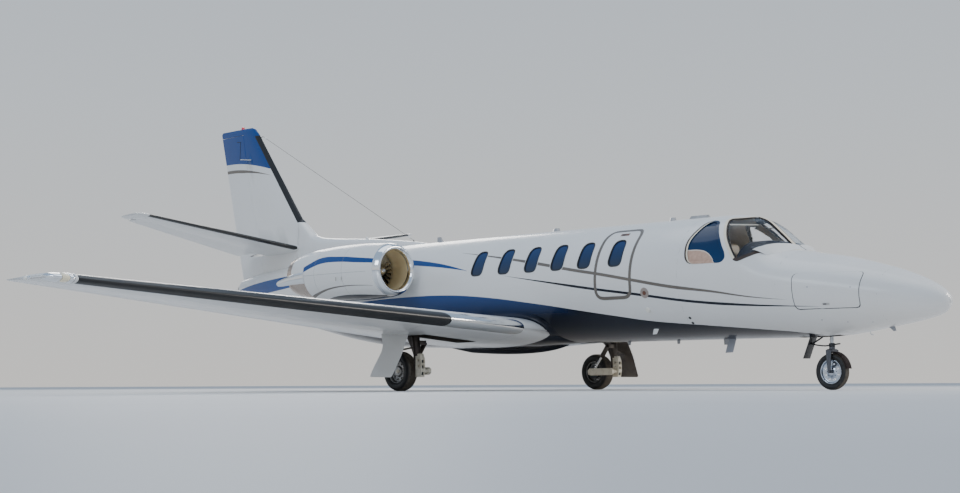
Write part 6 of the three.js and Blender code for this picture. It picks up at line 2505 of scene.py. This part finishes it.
LATCHES = (
    # name, body, station, half length, low, high, side
    ("exit_handle", body_of("emergency_exit"), 4.52, 0.075, 2.050, 2.082, -1),
    ("door_handle", "cabin_door", 3.62, 0.080, 1.500, 1.560, 1),
    ("tail_latch", "tail_baggage_door", 9.70, 0.050, 1.285, 1.312, 1),
    ("nose_latch_left", "nose_baggage_door_left", 1.31, 0.045, 1.010, 1.034, 1),
    ("nose_latch_right", "nose_baggage_door_right", 1.31, 0.045, 1.010, 1.034, -1),
)
handle_metal = metal("handle_metal", (0.55, 0.53, 0.50, 1), 0.28, 0.04, (20, 20, 20))
for name, body, station, half, low, high, side in LATCHES:
    finish = brown_port if name == "exit_handle" else handle_metal
    build(name, finish, [plate(station, half, low, high, side, 0.0007)], body)
    inset = 0.25 * (high - low)
    grip = plate(station + 0.3 * half, 0.45 * half, low + inset, high - inset, side, 0.0014)
    build(name + "_grip", dark_metal, [grip], body)
CAP_SPAN, CAP_SHARE = 5.9, 0.34
station, height = foil_point(WING, CAP_SPAN, CAP_SHARE, 1)
x = at(station)
caps = [post((x, m * CAP_SPAN, height - 0.004), (x, m * CAP_SPAN, height + 0.003), 0.045, 32) for m in BOTH]
build("fuel_caps", handle_metal, caps)
print("handles and latches:", len(LATCHES))

# %% [markdown]
# Wheel wells
#
# The legs come out of openings in the belly and in the wings. The photograph shows them as deep shade only. A
# dark sheet that lies on the skin, painted shade with an uneven tone, gives that shade without cutting the
# skin again.

# %% Dark sheets of the wheel wells
def well_shade():
    nodes = Nodes("wheel_well_shade")
    tone = nodes.mix(nodes.noise(14, 4.0), (0.010, 0.008, 0.006, 1), (0.035, 0.026, 0.018, 1))
    return nodes.set(base_color=tone, roughness=0.9, specular_ior_level=0.1)


def belly_well(start, end, half, lift=0.0012):
    rows = []
    for station in np.linspace(start, end, 26):
        half_body = float(frame_at(np.array([station]))[2][0])
        ends = math.asin(min(1.0, half / half_body))
        turn = np.linspace(-ends, ends, 9) - math.pi / 2
        rows.append(skin_point(np.full(9, station), turn, 1.0, lift))
    return ring_mesh(rows, False, False)


def wing_well(mirror, start, end, first, last, lift=0.0015):
    rows = []
    for span in np.linspace(start, end, 12):
        spots = [foil_point(WING, span, share, -1) for share in np.linspace(first, last, 12)]
        rows.append([(at(station), mirror * span, height - lift) for station, height in spots])
    return ring_mesh(rows, False, False)


well_material = well_shade()
build("nose_wheel_well", well_material, [belly_well(1.46, 2.06, 0.095)])
build("main_wheel_wells", well_material, [wing_well(m, 1.20, 2.16, 0.27, 0.42) for m in BOTH])
print("wells shaded")

# %% [markdown]
# Wing tips
#
# Outboard of the de-icing boot the leading edge is a chrome-plated fairing with a moulded lens let
# into it, and a round lamp stands further aft on the end of the tip. The fairings are shells round
# the nose of the wing's own section, a few millimetres proud of it.

# %% Lamps and fairings of the wing tips
def nose_cover(mirror, start, end, reach, proud, spans=14, around=22):
    """A shell round the wing's nose between two spans, which sinks into the wing at both ends."""
    rows = []
    for span in np.linspace(start, end, spans):
        shares = reach * (1 - np.sin(np.linspace(0, math.pi / 2, around)))
        path = [(u, 1) for u in shares] + [(u, -1) for u in shares[::-1][1:]]
        spots = np.array([foil_point(WING, span, u, way) for u, way in path])
        run = np.gradient(spots, axis=0)
        out = np.stack([run[:, 1], -run[:, 0]], axis=1) / np.linalg.norm(run, axis=1, keepdims=True)
        ends = np.sin(math.pi * np.clip((span - start) / (end - start), 0.02, 0.98)) ** 0.35
        outside = spots + out * proud * ends * np.sign(out[0, 1])
        rows.append([(at(s), mirror * span, z) for s, z in outside])
    return ring_mesh(rows, False, False)


TIP_PARTS = (
    # name, material, start, end, reach, proud
    ("tip_chrome", chrome, 7.805, 7.935, 0.14, 0.006),
    ("tip_lens", lens("tip_lens", (0.80, 0.72, 0.52, 1), 0.12), 7.715, 7.80, 0.075, 0.010),
    ("tip_shroud", chrome, 7.655, 7.712, 0.10, 0.008),
    ("tip_cap", white_paint, 7.615, 7.652, 0.09, 0.012),
)
for name, material, start, end, reach, proud in TIP_PARTS:
    build(name, material, [nose_cover(m, start, end, reach, proud) for m in BOTH], sharp=60)
LAMP_STATION, LAMP_OUT, LAMP_HEIGHT = 7.02, 7.944, 1.314
# height over the lamp's middle, half length and half width
LAMP_BASE = ((-0.018, 0.075, 0.016), (0, 0.095, 0.024), (0.018, 0.075, 0.016))
# height over the lamp's middle and share of its width
BULB = ((-0.024, 0.3), (-0.018, 0.75), (-0.008, 0.97), (0.004, 1), (0.016, 0.8), (0.024, 0.3))
for name, side in SIDES:
    x, y = at(LAMP_STATION), side * LAMP_OUT
    base = [(x, y, LAMP_HEIGHT + up, long, wide) for up, long, wide in LAMP_BASE]
    build("tip_lamp_base_" + name, chrome, [rounded_column(base, 32, 0.8)])
    bulb = [(x, y * 1.001, LAMP_HEIGHT + up, 0.036 * w, 0.030 * w) for up, w in BULB]
    build("tip_lamp_" + name, clear_lens, [rounded_column(bulb, 24, 1.0)], sharp=60)
print("wing tips fitted")

# %% [markdown]
# Aerial wire, fin and rudder details
#
# A long wire aerial runs straight from a stand-off on the fin down to the spine, held taut. A thin
# blue skirt under the fin's cap covers the running gap above the rudder, and the trim tab shows as
# fine lines on each side of the rudder, so those ride with it.

# %% Wire, skirt and tab lines
WIRE_TOP, WIRE_FOOT = Vector((at(13.202), 0, 4.375)), Vector((at(9.32), 0, 2.330))
wire = [post(WIRE_TOP, WIRE_FOOT, 0.0028, 10), post(WIRE_TOP, (at(13.30), 0, 4.345), 0.005, 12),
        post(WIRE_FOOT, (at(9.30), 0, 2.296), 0.009, 16)]
build("wire_aerial", dark_plastic, wire)
along = (WIRE_FOOT - WIRE_TOP).normalized()
beads = [post(WIRE_TOP + along * 0.06, WIRE_TOP + along * 0.12, 0.009, 16),
         post(WIRE_FOOT - along * 0.14, WIRE_FOOT - along * 0.08, 0.009, 16)]
build("wire_insulators", white_paint, beads)
KNOB = ((2.40, 0.030), (2.435, 0.028), (2.451, 0.012))    # height and radius
spine_knob = [(at(10.43), 0, z, radius, radius) for z, radius in KNOB]
build("spine_knob", white_paint, [rounded_column(spine_knob, 20, 1.0)])


def fin_half(station, height):
    """Half depth of the fin or the rudder at a place in side view."""
    front, level, chord, depth, drop = section_at(FIN, height)
    return max(THINNEST, depth * foil_half((station - front) / chord))


def tab_line(start, end, side):
    """A dark line on the rudder's side between two places (station, height)."""
    spots = []
    for share in np.linspace(0, 1, 12):
        station, height = (a + (b - a) * share for a, b in zip(start, end))
        spots.append((at(station), side * fin_half(station, height), height))
    return tube(spots, 0.005, 8, 1)


TAB = ((13.80, 4.02), (13.78, 4.33), (13.89, 4.34))
lines = [tab_line(a, b, side) for side in BOTH for a, b in zip(TAB[:-1], TAB[1:])]
build("rudder_tab_lines", black_rubber, lines, "rudder")
SKIRT_FOOT, SKIRT_TOP = 4.4335, 4.442
SKIRT_CORNERS = ((-1, SKIRT_FOOT), (1, SKIRT_FOOT), (1, SKIRT_TOP), (-1, SKIRT_TOP))
skirt = []
for station in np.linspace(13.66, 14.36, 16):
    half = 0.97 * fin_half(station, 4.44)
    skirt.append([(at(station), side * half, height) for side, height in SKIRT_CORNERS])
build("fin_cap_skirt", blue_paint, [ring_mesh(skirt, False, True)])
handles = [post((at(s), m * 1.667, 1.622), (at(s), m * 1.667, 1.678), 0.006, 10)
           for s in (9.06, 9.187) for m in BOTH]
build("cowl_handles", handle_metal, handles)
print("aerial wire", round((WIRE_TOP - WIRE_FOOT).length, 2), "m long")

# %% [markdown]
# The end of the tail
#
# The tail cone is open at its end, where a real one carries a lamp in a small cap. A shallow dome
# closes it, cut off level so that the rudder's foot passes over it.

# %% Stern cap and tail lamp
STERN, STERN_TOP, STERN_BULGE = 13.652, 1.779, 0.010
TAIL_LAMP = 1.70


def stern_cap(turns=48, rings=6):
    """A shallow dome over the tail cone's end, cut off level below the rudder."""
    rim = skin_point(STERN - 0.004, circle(turns))
    rim[:, 2] = np.minimum(rim[:, 2], STERN_TOP)
    centre = rim.mean(axis=0)
    rows = []
    for share in np.linspace(0, 1, rings):
        row = centre + (rim - centre) * (1 - 0.97 * share)
        row[:, 0] = at(STERN) - STERN_BULGE * math.sqrt(1 - (1 - share) ** 2)
        rows.append(row)
    points, faces = ring_mesh([rim, *rows], False, True)
    last = len(points) - turns
    return points, faces + [tuple(range(last, last + turns))]


build("stern_cap", fuselage_paint, [stern_cap()], sharp=40)
tail_lamp = post((at(STERN), 0, TAIL_LAMP), (at(STERN + 0.016), 0, TAIL_LAMP), 0.024, 24, 0.020)
build("tail_lamp", clear_lens, [tail_lamp])
print("stern cap closes the tail cone at station", STERN)

# %% [markdown]
# Floor
#
# The photo's ground is pale stone, so the stage is one large pale sheet that throws light up at the belly. It
# is only scenery.

# %% Floor
def pale_floor():
    nodes = Nodes("pale_floor")
    tone = nodes.mix(nodes.noise(0.35, 5.0), (0.66, 0.65, 0.635, 1), (0.72, 0.71, 0.70, 1))
    nodes.bump(nodes.noise(60, 4.0), 0.05, 0.002)
    nodes.set(base_color=tone, roughness=0.55)
    size = 150
    corners = [(-size, -size, 0), (size, -size, 0), (size, size, 0), (-size, size, 0)]
    data = bpy.data.meshes.new("floor")
    data.from_pydata(corners, [], [(0, 1, 2, 3)])
    data.materials.append(nodes.material)
    floor = bpy.data.objects.new("floor", data)
    bpy.context.scene.collection.objects.link(floor)


pale_floor()
